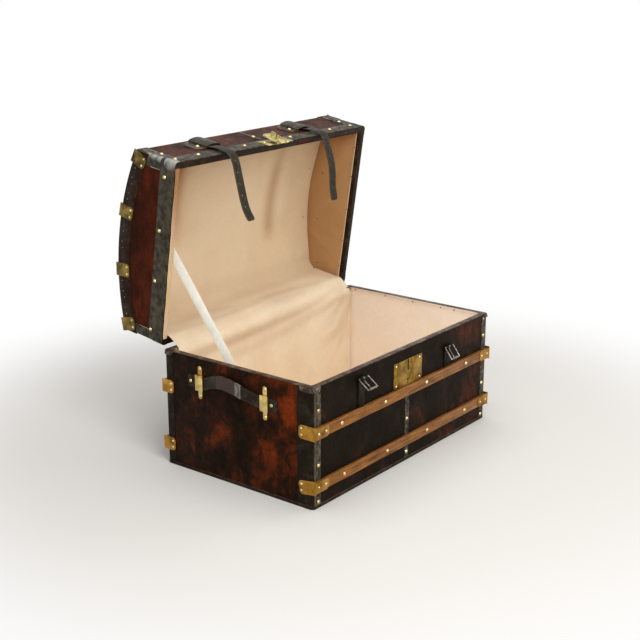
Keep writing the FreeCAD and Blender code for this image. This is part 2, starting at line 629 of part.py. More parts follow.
# ---- lid, drawn closed ----
def lid_boards():
    """Four pine walls and the bent board of the dome."""
    z0 = LID_RIM + RIM_COVER
    walls = prism(LID_BOARD_L, BOARD_D, BOARD_RADIUS, z0, DOME_EDGE + DOME_RISE)
    walls = walls.common(dome(-SKIN - DOME_BOARD))
    walls = walls.cut(slab(-LID_INNER_L, LID_INNER_L, -LID_INNER_D, LID_INNER_D, 0, 600))
    lid["lid_front_board"] = walls.common(slab(-HALF_L, HALF_L, -HALF_D, -LID_INNER_D, 0, 600))
    lid["lid_back_board"] = walls.common(slab(-HALF_L, HALF_L, LID_INNER_D, HALF_D, 0, 600))
    lid["lid_left_board"] = walls.common(slab(-HALF_L, -LID_INNER_L, -LID_INNER_D, LID_INNER_D, 0, 600))
    lid["lid_right_board"] = walls.common(slab(LID_INNER_L, HALF_L, -LID_INNER_D, LID_INNER_D, 0, 600))
    bent = dome(-SKIN).cut(dome(-SKIN - DOME_BOARD))
    lid["lid_dome_board"] = bent.common(prism(LID_BOARD_L, BOARD_D, BOARD_RADIUS, 400, 600))


def lid_skins():
    """Leather on the walls and ends, and one hide over the dome."""
    z0 = LID_RIM + RIM_COVER
    high = DOME_EDGE + DOME_RISE + 1
    outer = prism(LID_HALF_L, HALF_D, CORNER_RADIUS, z0, high)
    inner = prism(LID_BOARD_L, BOARD_D, BOARD_RADIUS, z0 - 1, high + 1)
    lid["lid_dome_skin"] = outer.common(dome(0)).cut(dome(-SKIN))
    sides = outer.cut(inner).common(dome(-SKIN))
    front = sides.common(slab(-HALF_L, HALF_L, -HALF_D, -BOARD_D, 0, 600))
    back = sides.common(slab(-HALF_L, HALF_L, BOARD_D, HALF_D, 0, 600))
    ends = sides.common(slab(-HALF_L, HALF_L, -BOARD_D, BOARD_D, 0, 600))
    lid["lid_wall_skins"] = group([front, back, ends])


def lid_bindings():
    """Leather round the rim, bands along the walls, and bindings over the dome's curved edges."""
    rim = prism(LID_HALF_L, HALF_D, CORNER_RADIUS, LID_RIM, LID_RIM + RIM_COVER)
    room_l, room_d = LID_INNER_L - LID_LINING, LID_INNER_D - LID_LINING
    lid["lid_rim_binding"] = rim.cut(slab(-room_l, room_l, -room_d, room_d, 0, 600))
    grown = LID_HALF_L + BAND, HALF_D + BAND, CORNER_RADIUS + BAND
    band = prism(*grown, LID_RIM, LID_RIM + BAND_END_HEIGHT)
    band = band.cut(prism(LID_HALF_L, HALF_D, CORNER_RADIUS, 0, 600))
    faces = slab(-LID_HALF_L + 12, LID_HALF_L - 12, -300, 300, LID_RIM + BAND_FACE_HEIGHT, 600)
    lid["lid_border_bands"] = band.cut(faces)
    bindings = []
    for sign in (-1, 1):
        outer_x = sign * (LID_HALF_L + BAND)
        face_x = sign * LID_HALF_L
        return_x = sign * (LID_HALF_L - DOME_BINDING_RETURN)
        end = slab(min(outer_x, face_x), max(outer_x, face_x), -HALF_D, HALF_D, LID_RIM + 90, 600)
        end = end.common(dome(BAND)).cut(dome(-DOME_BINDING_WIDTH))
        over = slab(min(face_x, return_x), max(face_x, return_x), -HALF_D, HALF_D, 400, 600)
        over = over.common(dome(BAND)).cut(dome(0))
        bindings.append(end.fuse(over).removeSplitter())
    lid["lid_dome_bindings"] = group(bindings)


def lid_irons():
    """Black corner irons above the band, bright caps over the rim corners, and the middle front strip."""
    grown = LID_HALF_L + BAND, HALF_D + BAND, CORNER_RADIUS + BAND
    wrap = prism(*grown, LID_RIM, 600).cut(prism(LID_HALF_L, HALF_D, CORNER_RADIUS, 0, 700))
    corners = corner_zone(LID_IRON_END, LID_IRON_END, LID_IRON_FACES, LID_RIM, 600, LID_HALF_L)
    irons = wrap.common(corners).common(dome(-SKIN)).cut(lid["lid_border_bands"])
    irons = irons.cut(lid["lid_dome_bindings"].Solids)
    skin_x, skin_y, skin_r = grown
    cap = prism(skin_x + TIN, skin_y + TIN, skin_r + TIN, LID_RIM, LID_RIM + CAP_HEIGHT)
    cap = cap.cut(prism(skin_x, skin_y, skin_r, 0, 600))
    caps = cap.common(corner_zone(CAP_END, CAP_END, {-1: CAP_FACE, 1: CAP_FACE}, LID_RIM, 600, LID_HALF_L))
    strips = []
    for facing in (-1, 1):
        y0, y1 = sorted((facing * HALF_D, facing * (HALF_D + TIN)))
        strips.append(slab(*MIDDLE_STRIP, y0, y1, LID_RIM + BAND_FACE_HEIGHT, DOME_EDGE - 8))
    lid["lid_corner_irons"] = group([irons, caps] + strips)


def on_dome(shape, angle):
    """Turns a piece drawn over the crown, with Z=0 on the leather, round the dome by an angle."""
    moved = shape.copy()
    moved.translate(V(0, 0, DOME_AXIS_Z + DOME_RADIUS))
    moved.rotate(V(0, 0, DOME_AXIS_Z), V(1, 0, 0), -angle)
    return moved


def lid_slats_and_clamps():
    """Four slats along the dome and a brass clamp on each end of each."""
    slats, clamps = [], []
    lobe_face = LID_HALF_L + BAND
    for angle in DOME_SLAT_ANGLES:
        sole = slab(-lobe_face, lobe_face, -SLAT_WIDTH / 2, SLAT_WIDTH / 2, -3, 0)
        bar = slat_bar(lobe_face, DOME_SLAT_THICKNESS).fuse(sole)
        bar = on_dome(bar, angle).cut(dome(0)).cut(lid["lid_dome_bindings"].Solids)
        slats.append(bar)
        for sign in (-1, 1):
            top = DOME_SLAT_THICKNESS
            drop = rounded_plate(36, 40 + top + SHEET_BRASS, SHEET_BRASS, 10, ("far",))
            drop_place = frame_of(V(sign * lobe_face, 0, top + SHEET_BRASS), V(0, -sign, 0), V(0, 0, -1))
            cover = rounded_plate(SLAT_WIDTH + 1, CLAMP_FACE_LENGTH, SHEET_BRASS, 10, ("far",))
            edge = V(sign * (lobe_face + SHEET_BRASS), 0, top)
            cover_place = frame_of(edge, V(0, sign, 0), V(-sign, 0, 0))
            clamp = placed(drop, drop_place).fuse(placed(cover, cover_place)).removeSplitter()
            clamps.append(on_dome(clamp, angle))
    lid["lid_slats"] = group(slats)
    lid["lid_clamps"] = group(clamps)


def lid_fasteners():
    """Nails in the bands and slats, pins in the clamps, hinges, keepers and hasp."""
    nails = []
    band_y = HALF_D + BAND
    nail_z = LID_RIM + 25
    nails += [big_nail(V(x, -band_y, nail_z), V(0, -1, 0)) for x in FRONT_BAND_NAILS]
    nails += [big_nail(V(x, -band_y, z), V(0, -1, 0)) for x, z in FRONT_IRON_NAILS]
    nails += [big_nail(V(x, band_y, nail_z), V(0, 1, 0)) for x in BACK_BAND_NAILS]
    nails += [big_nail(V(x, band_y + TIN, nail_z), V(0, 1, 0)) for x in (-383, 383)]
    nails += [big_nail(V(x, band_y, 391), V(0, 1, 0)) for x in (-381, 381)]
    for facing in (-1, 1):
        nails.append(big_nail(V(sum(MIDDLE_STRIP) / 2, facing * (HALF_D + TIN), 393), V(0, facing, 0)))
    for sign in (-1, 1):
        nails += [big_nail(V(sign * (LID_HALF_L + BAND), y, z), V(sign, 0, 0)) for y, z in END_BAND_NAILS]
    clamp_x = LID_HALF_L + BAND + SHEET_BRASS
    for angle in DOME_SLAT_ANGLES:
        for x in DOME_SLAT_NAILS:
            nails.append(on_dome(big_nail(V(x, 0, DOME_SLAT_THICKNESS), V(0, 0, 1), 12), angle))
        for sign in (-1, 1):
            for y in (-9.5, 9.5):
                nails.append(on_dome(small_pin(V(sign * clamp_x, y, -31), V(sign, 0, 0)), angle))
            for x in (386, 360):
                top = V(sign * x, 0, DOME_SLAT_THICKNESS + SHEET_BRASS)
                nails.append(on_dome(small_pin(top, V(0, 0, 1), 12), angle))
    for centre in HINGE_CENTRES:
        for dx, z in ((-20, 338), (20, 338), (0, 360)):
            nails.append(small_pin(V(centre + dx, HALF_D + BAND + LEAF, z), V(0, 1, 0)))
    for x in (-38, 38):
        nails.append(small_pin(V(x, -HASP_FACE, 333), V(0, -1, 0)))
    for side, arch in KEEPER_ARCHES.items():
        dx, z = KEEPER_NAIL
        nails.append(big_nail(V(arch + dx, -HALF_D - KEEPER_LEATHER, z), V(0, -1, 0)))
        strap_face = -STRAP_ROOT_ROUTE[0][0] + STRAP_THICKNESS / 2
        nails.append(small_pin(V(STRAP_CENTRES[side], -strap_face, 424), V(0, -1, 0), 9))
    lid["lid_nails"] = group(nails)


def lid_lining():
    """Cloth-covered card inside the lid."""
    z0 = LID_RIM + RIM_COVER
    outer = slab(-LID_INNER_L, LID_INNER_L, -LID_INNER_D, LID_INNER_D, z0, 600)
    outer = outer.common(dome(-SKIN - DOME_BOARD))
    room_l, room_d = LID_INNER_L - LID_LINING, LID_INNER_D - LID_LINING
    room = slab(-room_l, room_l, -room_d, room_d, z0 - 1, 600)
    lid["lid_lining"] = outer.cut(room.common(dome(-SKIN - DOME_BOARD - LID_LINING)))


# ---- hasp ----
def hasp():
    """Hinged hasp: plate and pin on the lid, and the leaf with its staple, folded back up the lid."""
    plate = slab(-52, 52, -HASP_FACE, -HALF_D - BAND, 308, 346)
    for x0, x1 in ((-25, -12.6), (12.6, 25)):
        plate = plate.fuse(slab(x0, x1, -HASP_FACE, -HALF_D - BAND, HASP_PIN_Z, 309))
        plate = plate.fuse(along_x(HASP_KNUCKLE, HASP_PIN_Y, HASP_PIN_Z, x0, x1))
    plate = plate.cut(along_x(HASP_PIN_RADIUS + 0.02, HASP_PIN_Y, HASP_PIN_Z, -30, 30))
    lid["hasp_plate"] = plate.removeSplitter()
    pin = along_x(HASP_PIN_RADIUS, HASP_PIN_Y, HASP_PIN_Z, -25.4, 25.4)
    for end in (-26.4, 25.4):
        pin = pin.fuse(along_x(HASP_PIN_RADIUS + 1, HASP_PIN_Y, HASP_PIN_Z, end, end + 1))
    lid["hasp_pin"] = pin.removeSplitter()
    bottom = HASP_PIN_Z - HASP_LENGTH
    leaf = rounded_plate(50, HASP_LENGTH - 4.5, LEAF_INNER - LEAF_OUTER, 12, ("far",))
    leaf = placed(leaf, frame_of(V(0, LEAF_OUTER, HASP_PIN_Z - 4.5), V(1, 0, 0), V(0, 0, -1)))
    leaf = leaf.fuse(slab(-12, 12, LEAF_OUTER, LEAF_INNER, HASP_PIN_Z - 5, HASP_PIN_Z))
    leaf = leaf.fuse(along_x(HASP_KNUCKLE, HASP_PIN_Y, HASP_PIN_Z, -12.3, 12.3))
    leaf = leaf.fuse(slab(-20, 20, LEAF_OUTER - 1.2, LEAF_OUTER, bottom + 2, bottom + 8))
    staple = slab(-1.3, 1.3, LEAF_INNER, LEAF_INNER + 12.7, STAPLE_Z - 10.5, STAPLE_Z + 10.5)
    staple = staple.cut(slab(-2, 2, LEAF_INNER - 0.01, LEAF_INNER + 9.7, STAPLE_Z - 7.5, STAPLE_Z + 7.5))
    leaf = leaf.fuse(staple).cut(along_x(HASP_PIN_RADIUS + 0.06, HASP_PIN_Y, HASP_PIN_Z, -30, 30))
    leaf = leaf.removeSplitter()
    leaf.rotate(V(0, HASP_PIN_Y, HASP_PIN_Z), V(1, 0, 0), -HASP_FOLD)
    lid["hasp_leaf"] = leaf


# ---- lid straps ----
def keeper(arch):
    """Leather keeper: a closed arch that the strap runs through and a nailed, round-ended tab beside it."""
    grow = KEEPER_LEATHER
    outlines = []
    for extra in (grow, 0.0):
        w = ARCH_HALF_WIDTH + extra
        face = -HALF_D
        sides = V(arch - w, face, KEEPER_LOW), V(arch - w, face - ARCH_SIDE, KEEPER_LOW)
        others = V(arch + w, face - ARCH_SIDE, KEEPER_LOW), V(arch + w, face, KEEPER_LOW)
        crown = Part.Arc(sides[1], V(arch, face - ARCH_RISE - extra, KEEPER_LOW), others[0]).toShape()
        edges = [Part.makeLine(*sides), crown, Part.makeLine(*others), Part.makeLine(others[1], sides[0])]
        outlines.append(Part.Face(Part.Wire(edges)))
    height = KEEPER_HIGH - KEEPER_LOW
    arched = outlines[0].extrude(V(0, 0, height))
    middle = (KEEPER_LOW + KEEPER_HIGH) / 2
    radius = height / 2
    centre = arch - KEEPER_TAB_END + radius
    tab = slab(centre, arch + KEEPER_FLANGE_END, -HALF_D - grow, -HALF_D, KEEPER_LOW, KEEPER_HIGH)
    end = Part.makeCylinder(radius, grow, V(centre, -HALF_D - grow, middle), V(0, 1, 0))
    passage = outlines[1].extrude(V(0, 0, height + 2))
    passage.translate(V(0, 0, -1))
    return arched.fuse(tab).fuse(end).cut(passage).removeSplitter()


def straps():
    """Keepers on the lid's front and the straps that run down through them to the rim."""
    keepers, roots = [], []
    for side, centre in STRAP_CENTRES.items():
        half = STRAP_WIDTH / 2
        root, _ = ribbon_solid(STRAP_ROOT_ROUTE, STRAP_THICKNESS, centre - half, centre + half)
        nose = along_x(STRAP_THICKNESS / 2, STRAP_BEND_Y, STRAP_BEND_Z, centre - half, centre + half)
        roots.append(root.fuse(nose).removeSplitter())
        keepers.append(keeper(KEEPER_ARCHES[side]))
    lid["strap_keepers"] = group(keepers)
    lid["strap_roots"] = group(roots)


def swung_point(y, z):
    """Where a point of the closed lid stands when the lid is open."""
    turn = math.radians(-OPEN_ANGLE)
    dy, dz = y - PIN_Y, z - PIN_Z
    return (
        PIN_Y + dy * math.cos(turn) - dz * math.sin(turn),
        PIN_Z + dy * math.sin(turn) + dz * math.cos(turn),
    )


def ribbon_solid(route, thickness, x0, x1):
    """Flat strip of even thickness whose middle line follows a smooth curve in the YZ plane."""
    middle = Part.BSplineCurve()
    middle.interpolate([V(x0, y, z) for y, z in route])
    first, last = middle.FirstParameter, middle.LastParameter
    count = 4 * len(route)
    outer, inner = [], []
    for step in range(count + 1):
        at = first + (last - first) * step / count
        along = middle.tangent(at)[0]
        side = V(0, -along.z, along.y).normalize() * (thickness / 2)
        outer.append(middle.value(at) + side)
        inner.append(middle.value(at) - side)
    edges = []
    for points in (outer, inner):
        curve = Part.BSplineCurve()
        curve.interpolate(points)
        edges.append(curve.toShape())
    edges.append(Part.makeLine(outer[0], inner[0]))
    edges.append(Part.makeLine(outer[-1], inner[-1]))
    wire = Part.Wire(Part.__sortEdges__(edges))
    return Part.Face(wire).extrude(V(x1 - x0, 0, 0)), middle


def strap_tail(side):
    """Hanging strap with its row of punched holes."""
    centre = STRAP_CENTRES[side]
    half = STRAP_WIDTH / 2
    bend_y, bend_z = swung_point(STRAP_BEND_Y, STRAP_BEND_Z)
    route = [(bend_y + dy, bend_z + dz) for dy, dz in STRAP_ROUTES[side]]
    strap, middle = ribbon_solid(route, STRAP_THICKNESS, centre - half, centre + half)
    clear_of_root = along_x(STRAP_THICKNESS / 2 + 1.4, bend_y, bend_z, centre - 20, centre + 20)
    strap = strap.cut(clear_of_root)
    strap = max(strap.Solids, key=lambda solid: solid.Volume)
    length = middle.length()
    for number in range(5):
        at = middle.parameterAtDistance(42 + number * HOLE_PITCH)
        spot = middle.value(at)
        along = middle.tangent(at)[0]
        across = V(0, -along.z, along.y)
        start = V(centre, spot.y, spot.z) - across * 5
        strap = strap.cut(Part.makeCylinder(HOLE_RADIUS, 10, start, across))
    print("strap", side, "hanging length", round(length, 1))
    parts["strap_" + side + "_tail"] = strap


# ---- cloth that joins lid and base ----
def stay_ribbon():
    """Cotton ribbon, taut from the left base wall to the left lid wall, that stops the lid."""
    low = V(RIBBON_X, 24.0, 295.0)
    top_y, top_z = swung_point(0.0, 338.0)
    high = V(RIBBON_X, top_y, top_z)
    along = (high - low).normalize()
    across = V(0, -along.z, along.y) * (RIBBON_WIDTH / 2)
    corners = [low + across, high + across, high - across, low - across]
    parts["stay_ribbon"] = extruded(corners, V(RIBBON_THICKNESS, 0, 0))
    print("stay ribbon length", round((high - low).Length, 1))


def hinge_cloth():
    """Lining cloth that runs on from the base's back wall into the lid, across the hinge."""
    inside = INNER_D - BASE_LINING - 0.2
    lid_inside = LID_INNER_D - LID_LINING - 0.2
    thickness = 0.8
    near = [(inside, 296.0), (inside, RIM_TOP + 2.0)]
    near += [swung_point(lid_inside, LID_RIM - 1.5), swung_point(lid_inside, LID_RIM + 24.0)]
    room = lid_inside - thickness
    far = [swung_point(room, LID_RIM + 24.0), swung_point(room, LID_RIM - 1.5)]
    far += [(inside - thickness, RIM_TOP + 2.5), (inside - thickness, 296.0)]
    outline = [V(-374, y, z) for y, z in near + far]
    parts["hinge_cloth"] = extruded(outline, V(748, 0, 0))


base_boards()
base_skins()
base_foot_and_strips()
base_slats()
base_clamps()
base_lining()
lock()
for side_name, side_sign in SIDES:
    handle(side_name, side_sign)
    buckle(side_name)
    strap_tail(side_name)
hinges()
base_fasteners()
lid_boards()
lid_skins()
lid_bindings()
lid_irons()
lid_slats_and_clamps()
lid_lining()
hasp()
straps()
lid_fasteners()
stay_ribbon()
hinge_cloth()
for node, closed_shape in lid.items():
    parts[node] = opened(closed_shape)

os.makedirs("parts", exist_ok=True)
for node, shape in parts.items():
    if not shape.isValid():
        print("not valid:", node)
    shape.exportStep("parts/" + node + ".step")
print(len(parts), "nodes")
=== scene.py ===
import json
import logging
import math
from bisect import bisect_right
from collections.abc import Callable, Iterator, Sequence
from contextlib import contextmanager
from dataclasses import dataclass
from enum import Enum
from itertools import accumulate
from typing import Any

import bmesh
import bpy
import numpy as np
from mathutils import Matrix, Vector

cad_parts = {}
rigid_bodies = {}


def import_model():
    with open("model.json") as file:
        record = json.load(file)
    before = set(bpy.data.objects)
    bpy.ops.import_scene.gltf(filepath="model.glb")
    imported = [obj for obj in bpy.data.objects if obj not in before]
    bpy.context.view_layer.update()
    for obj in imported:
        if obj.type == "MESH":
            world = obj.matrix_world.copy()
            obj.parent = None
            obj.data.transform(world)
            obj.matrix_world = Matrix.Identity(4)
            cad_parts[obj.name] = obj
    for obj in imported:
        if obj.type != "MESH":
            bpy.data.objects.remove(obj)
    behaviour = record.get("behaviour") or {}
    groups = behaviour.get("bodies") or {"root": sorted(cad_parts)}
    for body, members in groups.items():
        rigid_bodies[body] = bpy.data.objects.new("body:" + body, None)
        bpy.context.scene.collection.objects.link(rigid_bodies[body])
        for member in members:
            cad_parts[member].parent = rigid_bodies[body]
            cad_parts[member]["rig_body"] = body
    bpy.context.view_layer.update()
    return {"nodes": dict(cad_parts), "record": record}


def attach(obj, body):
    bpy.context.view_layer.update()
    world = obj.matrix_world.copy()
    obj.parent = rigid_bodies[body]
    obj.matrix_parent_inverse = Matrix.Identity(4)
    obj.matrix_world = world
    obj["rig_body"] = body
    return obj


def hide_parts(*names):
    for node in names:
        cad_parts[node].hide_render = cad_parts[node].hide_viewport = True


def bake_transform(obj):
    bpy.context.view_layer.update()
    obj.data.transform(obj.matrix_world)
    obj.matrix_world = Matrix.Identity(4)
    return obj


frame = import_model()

# Dome top trunk. X runs along the trunk, the lock faces -Y, Z is up, and the floor is Z = 0.
# Sizes in this file are millimetres unless a name or comment says metres; meshes are in metres.
# The lid is described in its closed place and swung open about its hinge pins by LID_SWING.

LOG = logging.getLogger("dome_top_trunk")
Object = bpy.types.Object
Material = bpy.types.Material
Socket = bpy.types.NodeSocket
Point = tuple[float, float, float]
Pair = tuple[float, float]

MM = 0.001
X, Y, Z = Vector((1, 0, 0)), Vector((0, 1, 0)), Vector((0, 0, 1))
OPEN_ANGLE = math.radians(81.6)
HINGE_PIN = Vector((0.0, 0.255, 0.311))
LID_SWING = (
    Matrix.Translation(HINGE_PIN)
    @ Matrix.Rotation(-OPEN_ANGLE, 4, "X")
    @ Matrix.Translation(-HINGE_PIN)
)
CLOSING = LID_SWING.inverted()
DOME_AXIS_Z = -209.6
SLOTS = {part["node"]: part["material_slot"] for part in frame["record"]["subparts"]}


class Side(Enum):
    """The two ends of the trunk, seen from the front."""

    LEFT = -1
    RIGHT = 1

    @property
    def word(self) -> str:
        """The side's name as the model's nodes and bodies spell it."""
        return self.name.lower()


# ---- places and lines ----
def metres(x: float, y: float, z: float) -> Vector:
    """Point in metres from millimetres."""
    return Vector((x, y, z)) * MM


def in_lid(x: float, y: float, z: float) -> Vector:
    """Open place, in metres, of a point given in millimetres on the closed lid."""
    return LID_SWING @ metres(x, y, z)


def dome_height(y: float, radius: float) -> float:
    """Height in millimetres, on the closed lid, of an arc of that radius over the dome's axis."""
    return DOME_AXIS_Z + math.sqrt(radius * radius - y * y)


def eased(share: float) -> float:
    """Smooth rise from 0 to 1 as share goes from 0 to 1."""
    share = min(1.0, max(0.0, share))
    return share * share * (3 - 2 * share)


def hill(values: np.ndarray, middle: float | np.ndarray, width: float) -> np.ndarray:
    """Bell curve of height 1 about a middle."""
    return np.exp(-(((values - middle) / width) ** 2))


def hermite(t: float, start: Any, leaving: Any, end: Any, arriving: Any) -> Any:
    """Smooth curve from one number or point to the next.

    Args:
        t: share of the way, from 0 to 1.
        start: where it begins.
        leaving: its slope there.
        end: where it ends.
        arriving: its slope there.

    Returns:
        The number or point at t.
    """
    return (
        start * (2 * t**3 - 3 * t**2 + 1) + leaving * (t**3 - 2 * t**2 + t)
        + end * (3 * t**2 - 2 * t**3) + arriving * (t**3 - t**2)
    )


def distances(points: Sequence[Vector]) -> list[float]:
    """How far along a line each of its points lies."""
    return [0.0, *accumulate((b - a).length for a, b in zip(points, points[1:]))]


class Route:
    """Smooth line through points, walked by distance."""

    def __init__(self, points: Sequence[Vector], fineness: int = 24) -> None:
        """Fits the line.

        Args:
            points: places that the line passes through, in metres.
            fineness: straight steps between two places.
        """
        at = distances(points)
        last = len(points) - 1
        slopes = []
        for i in range(last + 1):
            low, high = max(0, i - 1), min(last, i + 1)
            slopes.append((points[high] - points[low]) / (at[high] - at[low]))
        self.line: list[Vector] = []
        for i in range(last):
            span = at[i + 1] - at[i]
            ends = points[i], slopes[i] * span, points[i + 1], slopes[i + 1] * span
            self.line += [hermite(k / fineness, *ends) for k in range(fineness + (i == last - 1))]
        self.reach = distances(self.line)
        self.length = self.reach[-1]

    def at(self, distance: float) -> tuple[Vector, Vector]:
        """Point and direction along the line.

        Args:
            distance: metres from the start; outside the line it runs straight on.

        Returns:
            The point and the unit direction there.
        """
        i = min(max(bisect_right(self.reach, distance) - 1, 0), len(self.line) - 2)
        step = self.line[i + 1] - self.line[i]
        share = (distance - self.reach[i]) / max(step.length, 1e-9)
        return self.line[i] + step * share, step.normalized()


# ---- materials ----
def linear(code: str) -> tuple[float, float, float, float]:
    """Linear colour from an sRGB hex value such as #8A6B3C."""
    values = [int(code[i : i + 2], 16) / 255 for i in (1, 3, 5)]
    red, green, blue = (v / 12.92 if v <= 0.04045 else ((v + 0.055) / 1.055) ** 2.4 for v in values)
    return red, green, blue, 1.0


def per_mm(size: float) -> float:
    """Texture scale that gives features of a size in millimetres on coordinates in metres."""
    return 1.0 / (size * MM)


def bands(size: float) -> float:
    """Wave texture scale that repeats every so many millimetres on coordinates in metres."""
    return math.tau / (20 * size * MM)


class Paint:
    """A node tree, built node by node."""

    def __init__(self, tree: bpy.types.NodeTree) -> None:
        """Empties the tree."""
        self.tree = tree
        tree.nodes.clear()

    def add(self, kind: str, *values: Any, out: str | int | None = None, **named: Any) -> Socket | None:
        """Adds a node. A value is a number, a vector, a hex colour or a socket to link.

        Args:
            kind: the node type, after ShaderNode.
            values: what the node's open inputs take, in their order.
            out: the output that is wanted, by name or number; the first open one if none is said.
            named: properties, and inputs with a capital and with _ for a space; stops fills a colour ramp.

        Returns:
            The output socket, if the node has one.
        """
        added = self.tree.nodes.new("ShaderNode" + kind)
        inputs = {key.replace("_", " "): named.pop(key) for key in list(named) if key[0].isupper()}
        stops = named.pop("stops", ())
        for key, value in named.items():
            setattr(added, key, value)
        for number, (position, code) in enumerate(stops):
            elements = added.color_ramp.elements
            element = elements[number] if number < len(elements) else elements.new(position)
            element.position, element.color = position, linear(code)
        taken = list(zip((socket for socket in added.inputs if socket.enabled), values))
        for socket, value in taken + [(added.inputs[key], value) for key, value in inputs.items()]:
            if isinstance(value, Socket):
                self.tree.links.new(value, socket)
            else:
                socket.default_value = linear(value) if isinstance(value, str) else value
        if out is not None:
            return added.outputs[out]
        return next((socket for socket in added.outputs if socket.enabled), None)

    @property
    def place(self) -> Socket:
        """The place on the piece, in metres."""
        return self.add("TexCoord", out="Object")

    @property
    def flat(self) -> Socket:
        """The place on the piece laid out flat, in metres."""
        return self.add("UVMap", uv_map="flat")

    def seen(self) -> Socket:
        """1 for what the camera sees, straight, mirrored or through glass, and 0 for plain light."""
        seen = self.add("LightPath", out="Is Camera Ray")
        for way in ("Is Glossy Ray", "Is Transmission Ray"):
            seen = self.add("Math", seen, self.add("LightPath", out=way), operation="MAXIMUM")
        return seen

    def surface(self, colour: Socket, rough: Socket | float, height: Socket, depth: float, **more: Any) -> None:
        """Ends the tree with the shader.

        Args:
            colour: its base colour.
            rough: its roughness.
            height: relief from 0 to 1.
            depth: depth of that relief in millimetres.
            more: other sockets of the shader.
        """
        bump = self.add("Bump", Strength=1.0, Distance=depth * MM, Height=height)
        shader = self.add("BsdfPrincipled", Base_Color=colour, Roughness=rough, Normal=bump, **more)
        self.add("OutputMaterial", Surface=shader)


@dataclass(frozen=True)
class Finish:
    """One real material; each kind of finish paints its own surface."""

    name: str

    def made(self) -> Material:
        """The Blender material, built once and then shared."""
        ready = bpy.data.materials.get(self.name)
        if ready is None:
            ready = bpy.data.materials.new(self.name)
            ready.use_nodes = True
            self.paint(Paint(ready.node_tree))
        return ready

    def paint(self, paint: Paint) -> None:
        """Fills the node tree.

        Args:
            paint: the empty tree that it fills.
        """
        raise NotImplementedError


@dataclass(frozen=True)
class Hide(Finish):
    """Waxed cowhide stretched over boards: near-black brown that glows through burnt red in large soft patches with
    upright streaks, short scuffs, a fine pebbled grain and a low, broken gloss."""

    deep: str = "#120D0C"
    body: str = "#1F1311"
    rubbed: str = "#4A1A0E"
    patch: float = 90.0
    stretch: Point = (1.0, 1.0, 0.55)
    shift: float = 0.0
    # Direction in which the patches grow redder, where along it that starts and ends, and by how much.
    reddens: tuple[Point, float, float, float] | None = None
    # Places on the ends where the wax is rubbed through: Y, Z, radius, and how much redder.
    glows: tuple[tuple[float, float, float, float], ...] = ()
    scuff: str = "#5B4334"

    def paint(self, paint: Paint) -> None:
        """Clouds of rubbed colour, scuffs along the grain, pebble relief.

        Args:
            paint: the empty tree that it fills.
        """
        at = paint.add("Mapping", paint.place, Scale=self.stretch)
        clouds = paint.add("TexNoise", at, Scale=per_mm(self.patch), Detail=4.0, Roughness=0.6, Distortion=0.5)
        streaks = paint.add("TexNoise", at, Scale=per_mm(self.patch / 4), Detail=7.0, Roughness=0.6, Distortion=0.3)
        level = paint.add("Math", clouds, 0.62, operation="MULTIPLY")
        level = paint.add("Math", streaks, 0.38, level, operation="MULTIPLY_ADD")
        if self.reddens is not None:
            way, low, high, rise = self.reddens
            reach = paint.add("VectorMath", paint.place, way, operation="DOT_PRODUCT")
            more = paint.add("MapRange", reach, low * MM, high * MM, 0.0, rise)
            level = paint.add("Math", level, more, operation="ADD")
        on_end = paint.add("VectorMath", paint.place, (0.0, 1.0, 1.0), operation="MULTIPLY")
        for y, z, radius, redder in self.glows:
            away = paint.add("VectorMath", on_end, metres(0, y, z), operation="DISTANCE")
            more = paint.add("MapRange", away, radius * MM, 0.0, 0.0, redder, interpolation_type="SMOOTHSTEP")
            level = paint.add("Math", level, more, operation="ADD")
        tones = ((0.4, self.deep), (0.51, self.body), (0.68, self.rubbed))
        colour = paint.add("ValToRGB", level, stops=[(level_at - self.shift, tone) for level_at, tone in tones])
        fine = paint.add("TexNoise", paint.place, Scale=per_mm(9), Detail=5.0, Roughness=0.7)
        tint = paint.add("MapRange", fine, 0.35, 0.7, 0.75, 1.25)
        colour = paint.add("Mix", 1.0, colour, tint, data_type="RGBA", blend_type="MULTIPLY")
        # Handling scuffs about 1.5 mm wide and ten times as long, drawn wider than real ones so that they show.
        drawn = paint.add("Mapping", paint.place, Scale=(0.12, 0.12, 1.0))
        lines = paint.add("TexNoise", drawn, Scale=per_mm(3), Detail=4.0, Roughness=0.8)
        wear_and_painted_light = paint.add("MapRange", lines, 0.66, 0.78, 0.0, 0.4)
        colour = paint.add("Mix", wear_and_painted_light, colour, self.scuff, data_type="RGBA")
        # Hide grain of about 1 mm, drawn at 2.2 mm so that it shows.
        pebble = paint.add("TexVoronoi", paint.place, feature="SMOOTH_F1", Scale=per_mm(2.2), Smoothness=0.6)
        dents = paint.add("TexNoise", paint.place, Scale=per_mm(26), Detail=3.0, Roughness=0.5)
        height = paint.add("Math", dents, 3.2, pebble, operation="MULTIPLY_ADD")
        rough = paint.add("MapRange", level, 0.35, 0.65, 0.58, 0.4)
        paint.surface(colour, rough, height, 0.28, Specular_IOR_Level=0.05, Specular_Tint="#FFCB9C")


